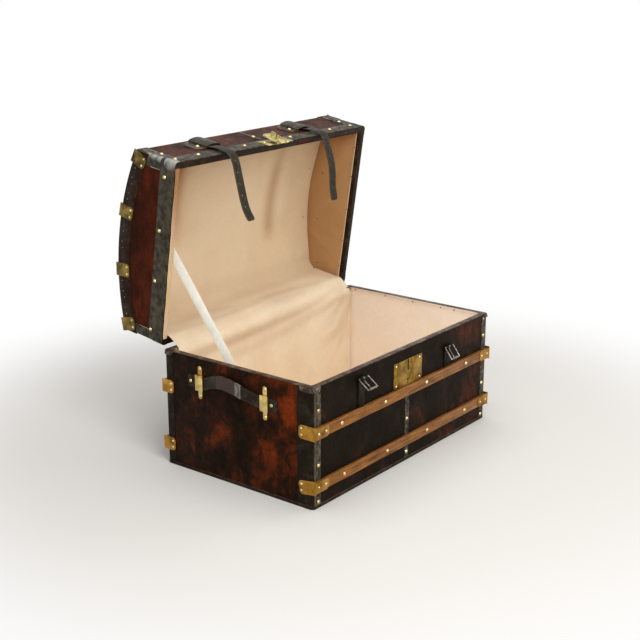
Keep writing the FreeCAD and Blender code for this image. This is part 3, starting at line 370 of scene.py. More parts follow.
@dataclass(frozen=True)
class Bridle(Finish):
    """Blackened strap leather: near-black wax over grey, rubbed pale along handling lines and brown where it has dried,
    with fine cross creases and a soft satin gloss."""

    dark: str = "#120E0A"
    rubbed: str = "#2F2920"
    dry: str = "#21160D"
    gloss: float = 0.46
    crease: float = 7.0
    shine: float = 0.09
    # Where the leather faces the front it is worn paler: the depth at which that starts.
    pale_front: float | None = None
    front: str = "#5C5340"

    def paint(self, paint: Paint) -> None:
        """Grey rub marks, brown dry patches, creases.

        Args:
            paint: the empty tree that it fills.
        """
        cloud = paint.add("TexNoise", paint.place, Scale=per_mm(34), Detail=7.0, Roughness=0.68, Distortion=0.5)
        colour = paint.add("ValToRGB", cloud, stops=((0.3, self.dry), (0.45, self.dark), (0.72, self.rubbed)))
        drawn = paint.add("Mapping", paint.place, Scale=(1.0, 0.35, 0.35))
        lines = paint.add("TexNoise", drawn, Scale=per_mm(self.crease), Detail=6.0, Roughness=0.75)
        if self.pale_front is not None:
            depth = paint.add("SeparateXYZ", paint.place, out="Y")
            facing = paint.add("MapRange", depth, -self.pale_front * MM, -(self.pale_front + 1.6) * MM, 0.0, 0.85)
            faded = paint.add("Math", facing, cloud, operation="MULTIPLY")
            faded = paint.add("Math", faded, 1.7, operation="MULTIPLY", use_clamp=True)
            colour = paint.add("Mix", faded, colour, self.front, data_type="RGBA")
        tint = paint.add("MapRange", lines, 0.35, 0.68, 0.66, 1.4)
        colour = paint.add("Mix", 1.0, colour, tint, data_type="RGBA", blend_type="MULTIPLY")
        fine = paint.add("TexNoise", paint.place, Scale=per_mm(1.6), Detail=3.0)
        height = paint.add("Math", lines, 2.4, fine, operation="MULTIPLY_ADD")
        rough = paint.add("MapRange", cloud, 0.3, 0.7, self.gloss + 0.14, self.gloss - 0.1)
        paint.surface(colour, rough, height, 0.2, Specular_IOR_Level=self.shine, Specular_Tint="#FFDDB4")


@dataclass(frozen=True)
class Timber(Finish):
    """Sawn and planed board: growth lines drawn out along X, pores as short dark flecks, an oiled or unfinished
    surface.
    """

    pale: str = "#A66F33"
    mid: str = "#875523"
    dark: str = "#523216"
    grain: float = 5.0
    gloss: float = 0.45
    shine: float = 0.2

    def paint(self, paint: Paint) -> None:
        """Growth lines, pores, handling marks.

        Args:
            paint: the empty tree that it fills.
        """
        drawn = paint.add("Mapping", paint.place, Scale=(0.045, 1.0, 1.0))
        rings = paint.add("TexNoise", drawn, Scale=per_mm(self.grain), Detail=6.0, Roughness=0.6, Distortion=1.2)
        colour = paint.add("ValToRGB", rings, stops=((0.32, self.dark), (0.5, self.mid), (0.68, self.pale)))
        # Pores of 0.3 mm, drawn at 1 mm so that they show.
        stretched = paint.add("Mapping", paint.place, Scale=(0.08, 1.0, 1.0))
        pores = paint.add("TexNoise", stretched, Scale=per_mm(1.0), Detail=2.0)
        fleck = paint.add("MapRange", pores, 0.6, 0.74, 0.0, 0.4)
        colour = paint.add("Mix", fleck, colour, self.dark, data_type="RGBA")
        age = paint.add("TexNoise", paint.place, Scale=per_mm(60), Detail=5.0, Roughness=0.65)
        tint = paint.add("MapRange", age, 0.32, 0.68, 0.74, 1.12)
        colour = paint.add("Mix", 1.0, colour, tint, data_type="RGBA", blend_type="MULTIPLY")
        rough = paint.add("MapRange", age, 0.3, 0.7, self.gloss + 0.12, self.gloss - 0.08)
        height = paint.add("Math", rings, fleck, operation="SUBTRACT")
        paint.surface(colour, rough, height, 0.25, Specular_IOR_Level=self.shine)


@dataclass(frozen=True)
class Sheet(Finish):
    """Sheet or cast metal with age on it: bright where it is rubbed, clouded with tarnish in the hollows,
    lightly dented, with fine scratches."""

    bright: str = "#C29142"
    clouded: str = "#A1752F"
    spotted: str = "#735122"
    tarnish: float = 0.5
    rough: float = 0.22
    cloud: float = 34.0
    metal: float = 1.0
    # Spots painted in another colour, each with its radius, at the open place: painted highlights on the lid's corners,
    # painted shade round the lock's openings.
    bare: tuple[tuple[Point, float], ...] = ()
    bare_metal: str = "#9C9A92"

    def paint(self, paint: Paint) -> None:
        """Tarnish clouds, dark spots, painted spots of highlight and shade, scratches, dents.

        Args:
            paint: the empty tree that it fills.
        """
        cloud = paint.add("TexNoise", paint.place, Scale=per_mm(self.cloud), Detail=6.0, Roughness=0.6, Distortion=0.2)
        low = 0.34 + 0.3 * (self.tarnish - 0.5)
        tones = ((low, self.spotted), (low + 0.12, self.clouded), (low + 0.3, self.bright))
        colour = paint.add("ValToRGB", cloud, stops=tones)
        nearest: Socket | None = None
        for place, radius in self.bare:
            away = paint.add("VectorMath", paint.place, metres(*place), operation="DISTANCE")
            away = paint.add("Math", away, radius * MM, operation="DIVIDE")
            nearest = away if nearest is None else paint.add("Math", away, nearest, operation="MINIMUM")
        # Spots painted in the spot colour round the given places: a painted highlight where that colour is light,
        # painted shade where it is dark.
        if nearest is not None:
            ragged = paint.add("Math", cloud, 1.1, nearest, operation="MULTIPLY_ADD")
            wear_and_painted_light = paint.add("MapRange", ragged, 1.6, 0.75, 0.0, 0.95, interpolation_type="SMOOTHSTEP")
            colour = paint.add("Mix", wear_and_painted_light, colour, self.bare_metal, data_type="RGBA")
        drawn = paint.add("Mapping", paint.place, Scale=(0.1, 0.3, 1.0))
        lines = paint.add("TexNoise", drawn, Scale=per_mm(1.4), Detail=3.0)
        dents = paint.add("TexNoise", paint.place, Scale=per_mm(7), Detail=2.0)
        height = paint.add("Math", dents, 4.0, lines, operation="MULTIPLY_ADD")
        rough = paint.add("MapRange", cloud, low, low + 0.3, self.rough + 0.28, self.rough)
        lacquered = {"Specular_IOR_Level": 0.2} if self.metal < 1 else {}
        paint.surface(colour, rough, height, 0.05, Metallic=self.metal, **lacquered)


@dataclass(frozen=True)
class Cotton(Finish):
    """Plain-woven lining cotton, glazed when new: faint slubs along and across, yellowed with age in blotches,
    darker in its folds and at its edges from dirt and painted shade, with almost no gloss."""

    new: str = "#EAD8BC"
    old: str = "#D8BC95"
    soiled: str = "#9A6B42"
    far: str = "#E1CCAB"
    # Metres along the sheet between which it turns from new to far; on the long cloth the darker far tone is painted
    # shade on the lid's part.
    turn: Pair = (0.22, 0.42)

    def paint(self, paint: Paint) -> None:
        """Weave, slubs, age, dirt and painted shade.

        Args:
            paint: the empty tree that it fills.
        """
        far = paint.add("MapRange", paint.add("SeparateXYZ", paint.flat, out="Y"), *self.turn)
        colour = paint.add("Mix", far, self.new, self.far, data_type="RGBA")
        blotch = paint.add("TexNoise", paint.place, Scale=per_mm(150), Detail=6.0, Roughness=0.6)
        aged = paint.add("MapRange", blotch, 0.42, 0.75, 0.0, 0.6)
        colour = paint.add("Mix", aged, colour, self.old, data_type="RGBA")
        # The attribute darkens the cloth for dirt and for painted shade in its folds, hollows and corners.
        grime = paint.add("Attribute", attribute_name="grime", out="Fac")
        colour = paint.add("Mix", grime, colour, self.soiled, data_type="RGBA")
        # Threads are 0.5 mm apart; slubs are drawn as 2 mm bands, 25 mm long, so that they show.
        slubs = [
            paint.add("TexNoise", paint.add("Mapping", paint.flat, Scale=scale), Scale=per_mm(2.0), Detail=3.0)
            for scale in ((0.08, 1.0, 1.0), (1.0, 0.08, 1.0))
        ]
        weave = paint.add("Math", *slubs, operation="ADD")
        tint = paint.add("MapRange", weave, 0.7, 1.3, 0.95, 1.045)
        colour = paint.add("Mix", 1.0, colour, tint, data_type="RGBA", blend_type="MULTIPLY")
        soft = paint.add("TexNoise", paint.place, Scale=per_mm(30), Detail=3.0)
        height = paint.add("Math", soft, 3.0, weave, operation="MULTIPLY_ADD")
        paint.surface(colour, 0.86, height, 0.35, Specular_IOR_Level=0.2, Sheen_Weight=0.12, Sheen_Roughness=0.5)


@dataclass(frozen=True)
class Grosgrain(Finish):
    """Bleached cotton ribbon: cross ribs, a plain selvedge, faintly yellowed."""

    white: str = "#FFFCF0"
    shade: str = "#F7F0DE"

    def paint(self, paint: Paint) -> None:
        """Ribs across the ribbon, 1 mm apart and drawn at 2.2 mm so that they show.

        Args:
            paint: the empty tree that it fills.
        """
        ribs = paint.add("TexWave", paint.flat, bands_direction="Y", Scale=bands(2.2), Distortion=0.4, out="Fac")
        cloud = paint.add("TexNoise", paint.flat, Scale=per_mm(22), Detail=4.0)
        colour = paint.add("ValToRGB", cloud, stops=((0.3, self.shade), (0.62, self.white)))
        paint.surface(colour, 0.8, ribs, 0.25, Specular_IOR_Level=0.25, Sheen_Weight=0.1)


@dataclass(frozen=True)
class StrapHide(Finish):
    """Old strap leather, dried and flexed: dark grey-brown, cracked across, paler at the edges and round its holes."""

    dark: str = "#15130F"
    pale: str = "#332E25"
    edge: str = "#544C3F"

    def paint(self, paint: Paint) -> None:
        """Cracks across the strap, worn edges and the groove along them.

        Args:
            paint: the empty tree that it fills.
        """
        cloud = paint.add("TexNoise", paint.flat, Scale=per_mm(20), Detail=6.0, Roughness=0.7)
        colour = paint.add("ValToRGB", cloud, stops=((0.36, self.dark), (0.7, self.pale)))
        off = paint.add("Math", paint.add("SeparateXYZ", paint.flat, out="X"), operation="ABSOLUTE")
        rim = paint.add("MapRange", off, 10.8 * MM, 13.5 * MM, 0.0, 0.8)
        colour = paint.add("Mix", rim, colour, self.edge, data_type="RGBA")
        drawn = paint.add("Mapping", paint.flat, Scale=(0.16, 1.0, 1.0))
        cracks = paint.add("TexNoise", drawn, Scale=per_mm(2.4), Detail=5.0, Roughness=0.7)
        tint = paint.add("MapRange", cracks, 0.35, 0.65, 0.62, 1.3)
        colour = paint.add("Mix", 1.0, colour, tint, data_type="RGBA", blend_type="MULTIPLY")
        groove = paint.add("MapRange", off, 10.2 * MM, 11.2 * MM, 0.0, 2.0, interpolation_type="SMOOTHSTEP")
        height = paint.add("Math", cracks, groove, operation="ADD")
        paint.surface(colour, 0.5, height, 0.35, Specular_IOR_Level=0.16, Specular_Tint="#FFEAD0")


@dataclass(frozen=True)
class Quilted(Finish):
    """Pressed leather sleeve: small raised squares about 5 mm apart, rubbed red-brown on their tops."""

    deep: str = "#0F0B09"
    top: str = "#70594A"

    def paint(self, paint: Paint) -> None:
        """Squares from two crossed waves over the flat UV map.

        Args:
            paint: the empty tree that it fills.
        """
        turned = paint.add("Mapping", paint.flat, Rotation=(0, 0, math.radians(38)))
        waves = [
            paint.add("TexWave", turned, bands_direction=way, Scale=bands(4.6), Distortion=0.6, out="Fac")
            for way in ("X", "Y")
        ]
        height = paint.add("Math", *waves, operation="MULTIPLY")
        colour = paint.add("ValToRGB", height, stops=((0.15, self.deep), (0.6, self.top)))
        paint.surface(colour, 0.5, height, 0.5, Specular_IOR_Level=0.18)


@dataclass(frozen=True)
class Woven(Finish):
    """Coarse tarred canvas or waxed thread: crossed threads with dark wax in the gaps."""

    thread: str = "#3B342C"
    gap: str = "#1C1815"
    pitch: float = 2.5

    def paint(self, paint: Paint) -> None:
        """Two crossed waves at the thread pitch, drawn coarser than real so that they show.

        Args:
            paint: the empty tree that it fills.
        """
        waves = [
            paint.add("TexWave", paint.place, bands_direction=way, Scale=bands(self.pitch), Distortion=0.8, out="Fac")
            for way in ("X", "Y")
        ]
        height = paint.add("Math", *waves, operation="MAXIMUM")
        colour = paint.add("ValToRGB", height, stops=((0.2, self.gap), (0.8, self.thread)))
        paint.surface(colour, 0.85, height, 0.4, Specular_IOR_Level=0.2)


@dataclass(frozen=True)
class PaleFloor(Finish):
    """Plain painted studio floor that runs out to the white of the background."""

    tone: str = "#DEDBD6"
    # Metres from the middle between which it turns white.
    fade: Pair = (0.75, 1.5)

    def paint(self, paint: Paint) -> None:
        """Matt floor near the trunk; further out, what the camera and reflections see turns to plain white.

        Args:
            paint: the empty tree that it fills.
        """
        spot = paint.add("VectorMath", paint.place, operation="LENGTH")
        away = paint.add("MapRange", spot, *self.fade, interpolation_type="SMOOTHSTEP")
        share = paint.add("Math", away, paint.seen(), operation="MULTIPLY")
        mottle = paint.add("TexNoise", paint.place, Scale=per_mm(4), Detail=2.0)
        relief = paint.add("Bump", Distance=0.1 * MM, Strength=0.4, Height=mottle)
        matt = paint.add("BsdfPrincipled", Base_Color=self.tone, Roughness=0.75, Specular_IOR_Level=0.2, Normal=relief)
        white = paint.add("Emission", "#FFFFFF", 1.0)
        paint.add("OutputMaterial", Surface=paint.add("MixShader", share, matt, white))


END_HIDE = Hide(
    "waxed_cowhide_ends", "#130D08", "#2A150B", "#6B2A0E", 90.0, (1.0, 1.0, 0.75), -0.035,
    glows=(
        (-106, 121, 85, 0.15), (-173, 239, 70, 0.15), (63, 134, 85, 0.05), (155, 182, 75, 0.06), (-190, 120, 70, 0.08),
    ),
)
WALL_HIDE = Hide(
    "waxed_cowhide_walls", "#120D08", "#1B120B", "#4C210F", 90.0, (1.0, 1.0, 0.6), -0.07,
    ((1.0, 0.0, 0.0), 40.0, 380.0, 0.13),
)
LID_HIDE = Hide("waxed_cowhide_lid", "#1C0D07", "#351409", "#56200C", 80.0, (0.7, 1.0, 0.45), 0.02)
LID_FRONT_HIDE = Hide(
    "waxed_cowhide_lid_front", "#1C0F08", "#38180D", "#542611", 60.0, (1.0, 1.0, 1.0), 0.02, scuff="#4A2C1C"
)
BINDING = Bridle("blackened_bridle_leather_binding", pale_front=243.6)
DOME_BINDING = Bridle("dried_dome_edge_leather", "#1E130D", "#3C2C22", "#2E1A10", 0.44, 6.0, 0.08)
RIM_LEATHER = Bridle("worn_rim_leather", "#33251E", "#7A6755", "#54322A", 0.4, 9.0, 0.2)
# Its pale rubbed tone stands for wear and partly for the sheen on the gathered wrinkles: a painted highlight.
GATHERED_LEATHER = Bridle("gathered_rim_leather", "#1D1712", "#97897A", "#33251C", 0.36, 2.6, 0.4)
TAB_LEATHER = Bridle("dark_tab_leather", "#120E0A", "#241E17", "#1C130C", 0.46, 4.0, 0.08)
KEEPER_LEATHER = Bridle("strap_keeper_leather", "#1E1A15", "#4A443A", "#2C2017", 0.4, 5.0, 0.2)
# Painted highlight for the keepers' rounded edges.
KEEPER_EDGE = Bridle("rubbed_keeper_edge", "#57503F", "#8A8068", "#4A3D2C", 0.4, 5.0, 0.2)
TURNED_LEATHER = Bridle("turned_in_rim_leather", "#1B110B", "#50392B", "#33201A", 0.42, 9.0)
LID_RIM_LEATHER = Bridle("dark_rim_leather", "#1A110C", "#34261D", "#3A1D10", 0.42, 9.0)
HANDLE_LEATHER = Bridle("handle_bridle_leather", "#191612", "#3D382F", "#281C13", 0.42, 4.0, 0.14)
# Painted highlight along the top edge of the foot strips.
FOOT_TOP_HIGHLIGHT = Bridle("rubbed_foot_edge", "#5A442F", "#8A6C4C", "#46311F", 0.4, 12.0, 0.25)
RAW_EDGE = Bridle("raw_leather_edge", "#6A4A2D", "#93693F", "#4E3521", 0.5, 4.0)
SLAT_WOOD = Timber("oiled_ash_slat")
BOARD_WOOD = Timber("raw_pine_board", "#C9A473", "#B08A58", "#8A6438", 9.0, 0.7)
BRASS = Sheet("aged_sheet_brass")
LID_BRASS = Sheet("tarnished_sheet_brass", "#927B40", "#655428", "#3A2F18", 0.5, 0.26)
NAIL_BRASS = Sheet("domed_brass_nail", "#F0DFAE", "#C9AC70", "#8C7240", 0.35, 0.22, 9.0)
# Painted shade round the staple slot and the keyhole: dark soft spots along them on the brass.
LOCK_BRASS = Sheet(
    "patinated_lock_brass", "#AF883A", "#826322", "#54411A", 0.5, 0.3, 26.0,
    bare=tuple(((0, -246.6, z), 4.4) for z in range(256, 281, 6)) + (((0, -246.6, 229), 5.0), ((0, -246.6, 221), 4.0)),
    bare_metal="#1A140D",
)
LOOP_BRASS = Sheet("polished_loop_brass", "#DEC785", "#B8964C", "#8C6C30", 0.4, 0.16, 24.0)
HASP_BRASS = Sheet("rubbed_hasp_brass", "#D9CB92", "#A89553", "#6F6030", 0.45, 0.3, 18.0)
DARK_BRASS = Sheet("dulled_brass_tack", "#A39B84", "#7C7259", "#4A412F", 0.5, 0.3, 12.0)
NICKEL = Sheet("dulled_nickel_plate", "#A19D95", "#726D64", "#403B34", 0.5, 0.3, 10.0)
STEEL = Sheet("plain_mild_steel", "#9B9994", "#75726C", "#4F4A43", 0.5, 0.38, 12.0)
HINGE_IRON = Sheet("blackened_hinge_iron", "#5C5750", "#403B35", "#3A2A20", 0.5, 0.42, 20.0, 0.8)
# Near-black, so that the lock's openings read dark: painted shade on the case seen through them.
CASE_IRON = Sheet("blackened_lock_case_iron", "#2A2622", "#191613", "#33241A", 0.5, 0.5, 14.0, 0.5)
TACK_IRON = Sheet("blued_iron_tack", "#3B3230", "#2A2220", "#3E2418", 0.5, 0.5, 2.0, 0.7)
TIN = Sheet("japanned_tinplate", "#3A3027", "#1D1812", "#2B1D12", 0.55, 0.4, 26.0, 0.35)
STRIP_TIN = Sheet("rubbed_edge_tinplate", "#5C5545", "#37322A", "#211C15", 0.5, 0.42, 11.0, 0.35)
BAND_TIN = Sheet("blackened_band_tinplate", "#4B4434", "#363126", "#241F17", 0.45, 0.42, 16.0, 0.35)
BEAD_TIN = Sheet("bright_rolled_tin_edge", "#B9B5A6", "#8F8A7A", "#5C574A", 0.45, 0.3, 20.0, 0.9)
# Painted highlight on the lid's front corners, where the rounded tin catches the light: bright round the rim corner,
# then in a streak up the edge.
CORNER_TIN = Sheet(
    "corner_tinplate_rubbed_bright", "#4A4436", "#302C22", "#211C15", 0.5, 0.36, 16.0, 0.45,
    tuple(
        (tuple(in_lid(side * 395, y, z) / MM), radius * share)
        for side, share in ((-1, 1.0), (1, 0.6))
        for y, z, radius in ((-247, 330, 30), (-248, 352, 21), (-248, 372, 17), (-248, 392, 16), (-247, 412, 14))
    ),
)
# One lining cotton in lit and shaded copies: the long cloth turns from its base tone to a darker far tone on the lid,
# painted shade; the base's cloths are lighter and its right wall lightest, painted light; the lid's ends are much
# darker, painted shade; the hem takes the ceiling's shaded tone.
LINING_COTTON = Cotton("glazed_lining_cotton")
BASE_COTTON = Cotton("glazed_lining_cotton_base", "#F6E3CB", "#EBD1B1", "#A07248", "#F6E3CB")
RIGHT_COTTON = Cotton("glazed_lining_cotton_right_wall", "#FDF1E1", "#F7E3CA", "#A07248", "#FDF1E1")
END_COTTON = Cotton("glazed_lining_cotton_lid_ends", "#B2885A", "#9E7042", "#6E4726", "#B2885A")
HEM_COTTON = Cotton("glazed_lining_cotton_hem", "#D9BC96", "#C8A67C", "#8F5F36", "#D9BC96")
RIBBON = Grosgrain("bleached_cotton_ribbon")
STRAP = StrapHide("dried_strap_leather")
SLEEVE = Quilted("pressed_leather_sleeve")
CANVAS = Woven("tarred_underside_canvas")
THREAD = Woven("waxed_linen_thread", "#6E6353", "#3A332A", 1.2)
WHIPPING = Woven("grey_waxed_whipping", "#77736A", "#26221E", 2.4)
FLOOR = PaleFloor("painted_studio_floor")


# ---- modelling by hand ----
def only(piece: Object) -> None:
    """Leaves one piece selected and active, in object mode."""
    if bpy.context.object and bpy.context.object.mode != "OBJECT":
        bpy.ops.object.mode_set(mode="OBJECT")
    bpy.ops.object.select_all(action="DESELECT")
    piece.select_set(True)
    bpy.context.view_layer.objects.active = piece


@contextmanager
def editing(piece: Object) -> Iterator[None]:
    """Edit mode on one piece, with all of it selected at the start."""
    only(piece)
    bpy.ops.object.mode_set(mode="EDIT")
    bpy.ops.mesh.select_all(action="SELECT")
    yield
    bpy.ops.object.mode_set(mode="OBJECT")


def modify(piece: Object, kind: str, **settings: Any) -> None:
    """Adds a modifier with its settings and applies it.

    Args:
        piece: the object.
        kind: the modifier's type.
        settings: what it takes, by property name.
    """
    only(piece)
    modifier = piece.modifiers.new(kind.lower(), kind)
    for key, value in settings.items():
        setattr(modifier, key, value)
    bpy.ops.object.modifier_apply(modifier=modifier.name)


def started(operator: Callable[..., Any], name: str, **settings: Any) -> Object:
    """A primitive, named and alone in the selection.

    Args:
        operator: the operator of bpy.ops.mesh that adds it.
        name: the piece's name.
        settings: what the operator takes.

    Returns:
        The new object.
    """
    bpy.ops.object.select_all(action="DESELECT")
    operator(**settings)
    piece = bpy.context.object
    piece.name = name
    return piece


def settled(size: Sequence[float]) -> None:
    """Resizes a primitive that was just added and applies its place and size to its mesh."""
    bpy.ops.transform.resize(value=size)
    bpy.ops.object.transform_apply(location=True, rotation=True, scale=True)


def block(name: str, centre: Point, size: Point) -> Object:
    """A cube primitive brought to size and place.

    Args:
        name: the piece's name.
        centre: its middle, in millimetres.
        size: its three sides, in millimetres.

    Returns:
        The new object, its place in its mesh.
    """
    piece = started(bpy.ops.mesh.primitive_cube_add, name, size=1.0, location=metres(*centre))
    settled(Vector(size) * MM)
    return piece


def sliced(piece: Object, along: Vector, places: Sequence[float]) -> None:
    """Cuts loops across a piece with the bisect tool.

    Args:
        piece: the object to cut.
        along: unit direction that the cuts are square to.
        places: distances of the cuts along that direction, in millimetres.
    """
    with editing(piece):
        for place in places:
            bpy.ops.mesh.select_all(action="SELECT")
            bpy.ops.mesh.bisect(plane_co=along * (place * MM), plane_no=along)


def rounded(piece: Object, radius: float, steps: int, test: Callable[[Vector, Vector], bool]) -> None:
    """Rounds some edges of a piece with the bevel tool.

    Args:
        piece: the object to round.
        radius: how far the rounding reaches, in millimetres.
        steps: segments across it.
        test: takes the two ends of an edge, in metres, and says whether it is rounded.
    """
    with editing(piece):
        bpy.ops.mesh.select_mode(type="EDGE")
        bpy.ops.mesh.select_all(action="DESELECT")
        for edge in bmesh.from_edit_mesh(piece.data).edges:
            if test(*(vertex.co for vertex in edge.verts)):
                edge.select_set(True)
        bmesh.update_edit_mesh(piece.data)
        bpy.ops.mesh.bevel(offset=radius * MM, segments=steps, affect="EDGES")


def ease_edges(piece: Object, width: float, steps: int = 2, angle: float = 50.0, **settings: Any) -> None:
    """Bevels every edge that is sharper than an angle.

    Args:
        piece: the object.
        width: width of the bevel, in metres.
        steps: segments across it.
        angle: smallest angle between two faces that is eased, in degrees.
        settings: anything else that the modifier takes.
    """
    limit = math.radians(angle)
    modify(piece, "BEVEL", width=width, segments=steps, limit_method="ANGLE", angle_limit=limit, **settings)


def reshape(piece: Object, move: Callable[[Vector], Vector]) -> None:
    """Moves every vertex of a piece to where a function puts it, and turns its faces outwards."""
    for vertex in piece.data.vertices:
        vertex.co = move(vertex.co.copy())
    piece.data.update()
    outwards(piece)


def outwards(piece: Object) -> None:
    """Turns all faces of a closed piece outwards."""
    with editing(piece):
        bpy.ops.mesh.normals_make_consistent(inside=False)


def smoothed(piece: Object, angle: float = 35.0) -> None:
    """Smooth shading below an edge angle in degrees."""
    only(piece)
    bpy.ops.object.shade_smooth_by_angle(angle=math.radians(angle))


def laid_flat(piece: Object, across: int) -> None:
    """Gives a piece a UV map called flat, in metres.

    Args:
        piece: the piece, still in its flat place, which runs along Y.
        across: number of the axis that lies across it.
    """
    layers = piece.data.uv_layers
    flat = layers[0] if layers else layers.new(name="flat")
    flat.name = "flat"
    for loop in piece.data.loops:
        at = piece.data.vertices[loop.vertex_index].co
        flat.data[loop.index].uv = (at[across], at.y)


def recorded(piece: Object, slot: str, finish: Finish, stands_for: Sequence[str]) -> Object:
    """Gives a piece its finish and hides the CAD nodes that it stands for.

    Args:
        piece: its mesh, in place.
        slot: the record's material slot; not used.
        finish: what it is made of.
        stands_for: CAD nodes that it replaces.

    Returns:
        The same object.
    """
    piece.data.materials.clear()
    piece.data.materials.append(finish.made())
    if stands_for:
        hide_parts(*stands_for)
    return piece


def finished(piece: Object, body: str, slot: str, finish: Finish, *stands_for: str) -> Object:
    """Finishes a piece that moves with one body.

    Args:
        piece: its mesh, in place.
        body: name of the CAD body it rides on.
        slot: the record's material slot.
        finish: what it is made of.
        stands_for: CAD nodes that it replaces.

    Returns:
        The same object.
    """
    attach(piece, body)
    return recorded(piece, slot, finish, stands_for)


def bending(
    piece: Object, bodies: Sequence[str], span: Sequence[Vector], slot: str, finish: Finish, *stands_for: str
) -> Object:
    """Finishes a piece that reaches between two bodies: bakes its place into its mesh and gives it its finish; nothing
    attaches it to the bodies or makes it bend.

    Args:
        piece: its mesh, in place.
        bodies: names of the CAD bodies at its two ends; not used.
        span: where the first body's hold ends and where the second one's is full, in metres; it is read but nothing is
            done with it.
        slot: the record's material slot.
        finish: what it is made of.
        stands_for: CAD nodes that it replaces.

    Returns:
        The same object.
    """
    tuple(span[0])
    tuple(span[1])
    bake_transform(piece)
    return recorded(piece, slot, finish, stands_for)


def dressed(node: str, finish: Finish) -> None:
    """Gives a CAD piece its finish and leaves its shape alone."""
    piece = frame["nodes"][node]
    if not piece.material_slots:
        piece.data.materials.append(finish.made())
    for slot in piece.material_slots:
        slot.material = finish.made()


def refined(node: str, finish: Finish, edge: float = 0.0, steps: int = 2) -> Object:
    """A merged copy of a CAD piece with eased edges, which stands for it.

    Args:
        node: the CAD node.
        finish: what it is made of.
        edge: width of the eased edges, in millimetres.
        steps: segments across an eased edge.

    Returns:
        The new object.
    """
    source = frame["nodes"][node]
    piece = bpy.data.objects.new(node + "_finished", source.data.copy())
    bpy.context.collection.objects.link(piece)
    only(piece)
    if piece.data.has_custom_normals:
        bpy.ops.mesh.customdata_custom_splitnormals_clear()
    with editing(piece):
        bpy.ops.mesh.remove_doubles(threshold=2e-6)
        bpy.ops.mesh.dissolve_limited(angle_limit=math.radians(0.8))
    if edge:
        ease_edges(piece, edge * MM, steps, 42.0, miter_outer="MITER_ARC")
    smoothed(piece)
    return finished(piece, source["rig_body"], SLOTS[node], finish, node)


def second_finish(piece: Object, finish: Finish, test: Callable[[Vector, Vector], bool]) -> None:
    """Gives some faces of a finished piece another finish.

    Args:
        piece: the piece.
        finish: the other finish.
        test: takes a face's middle in millimetres and its normal, and says whether it gets it.
    """
    piece.data.materials.append(finish.made())
    for face in piece.data.polygons:
        if test(face.center / MM, face.normal):
            face.material_index = 1


def repeated(master: Object, places: Sequence[Matrix], name: str) -> Object:
    """Sets a copy of a small piece at every place and joins the copies.

    Args:
        master: the piece to copy; it is removed.
        places: transforms in metres.
        name: name of the joined piece.

    Returns:
        One smooth object that holds every copy.
    """
    copies = []
    for place in places:
        copy = bpy.data.objects.new(name, master.data.copy())
        copy.data.transform(place)
        bpy.context.collection.objects.link(copy)
        copies.append(copy)
    bpy.data.objects.remove(master)
    only(copies[0])
    for copy in copies:
        copy.select_set(True)
    bpy.ops.object.join()
    joined = bpy.context.object
    joined.name = name
    smoothed(joined, 60)
    return joined


def upright_at(place: Vector, normal: Vector) -> Matrix:
    """Transform that stands the Z axis along a normal at a place."""
    return Matrix.Translation(place) @ normal.to_track_quat("Z", "Y").to_matrix().to_4x4()


def cloth(name: str, places: np.ndarray, flat: np.ndarray, grime: np.ndarray) -> Object:
    """A woven sheet from a grid of places.

    Args:
        name: the piece's name.
        places: rows by columns of points, in metres, seen from the face side.
        flat: the same grid laid out flat, in metres, for the weave.
        grime: 0 to 1 for each point, how much the cloth is darkened, by dirt from handling and age and by painted
            shade.

    Returns:
        The new object with a UV map called flat and an attribute called grime.
    """
    rows, cols = places.shape[:2]
    piece = started(
        bpy.ops.mesh.primitive_grid_add, name, x_subdivisions=cols - 1, y_subdivisions=rows - 1, size=1.0
    )
    mesh = piece.data
    corners = np.zeros(len(mesh.loops), np.int32)
    mesh.loops.foreach_get("vertex_index", corners)
    laid = mesh.uv_layers[0]
    laid.name = "flat"
    laid.data.foreach_set("uv", flat.reshape(-1, 2)[corners].astype(np.float32).reshape(-1))
    mesh.vertices.foreach_set("co", places.astype(np.float32).reshape(-1))
    wear_and_painted_light = mesh.attributes.new("grime", "FLOAT", "POINT")
    wear_and_painted_light.data.foreach_set("value", np.clip(grime, 0, 1).astype(np.float32).reshape(-1))
    mesh.shade_smooth()
    return piece


def cut_cloth(
    name: str, rows: int, columns: int, spot: Callable[[int, int], tuple[Vector, Pair, float]], turned: bool = False
) -> Object:
    """A woven sheet whose points are placed one by one.

    Args:
        name: the piece's name.
        rows: points along the sheet.
        columns: points across it.
        spot: for a row and a column, the place and the flat place, in metres, and the grime.
        turned: True where the other side is the face side.

    Returns:
        The new object.
    """
    order = range(columns)[::-1] if turned else range(columns)
    grid = [[spot(i, j) for j in order] for i in range(rows)]
    places, flat, grime = (np.array([[cell[k] for cell in row] for row in grid], float) for k in range(3))
    return cloth(name, places, flat, grime)


# ---- the case and the lid ----
@dataclass
class StrapKeepers:
    """Sewn leather keepers on the lid, with painted highlights along their rounded edges."""

    edge: float = 0.7
    flatness: float = 0.93

    def make(self) -> None:
        """Keepers whose rounded edges are painted paler than their faces, as highlights."""
        keepers = refined("strap_keepers", KEEPER_LEATHER, self.edge, 3)
        closed = CLOSING.to_3x3()
        second_finish(keepers, KEEPER_EDGE, lambda _, way: max(map(abs, closed @ way)) < self.flatness)


@dataclass
class Carcass:
    """Boards and underside canvas, which only show at edges and from below."""

    boards: tuple[str, ...] = (
        "base_front_board", "base_back_board", "base_left_board", "base_right_board", "base_bottom_board",
        "lid_front_board", "lid_back_board", "lid_left_board", "lid_right_board", "lid_dome_board",
    )

    def make(self) -> None:
        """Bare pine boards and tarred canvas."""
        for node in self.boards:
            dressed(node, BOARD_WOOD)
        dressed("base_underside_canvas", CANVAS)


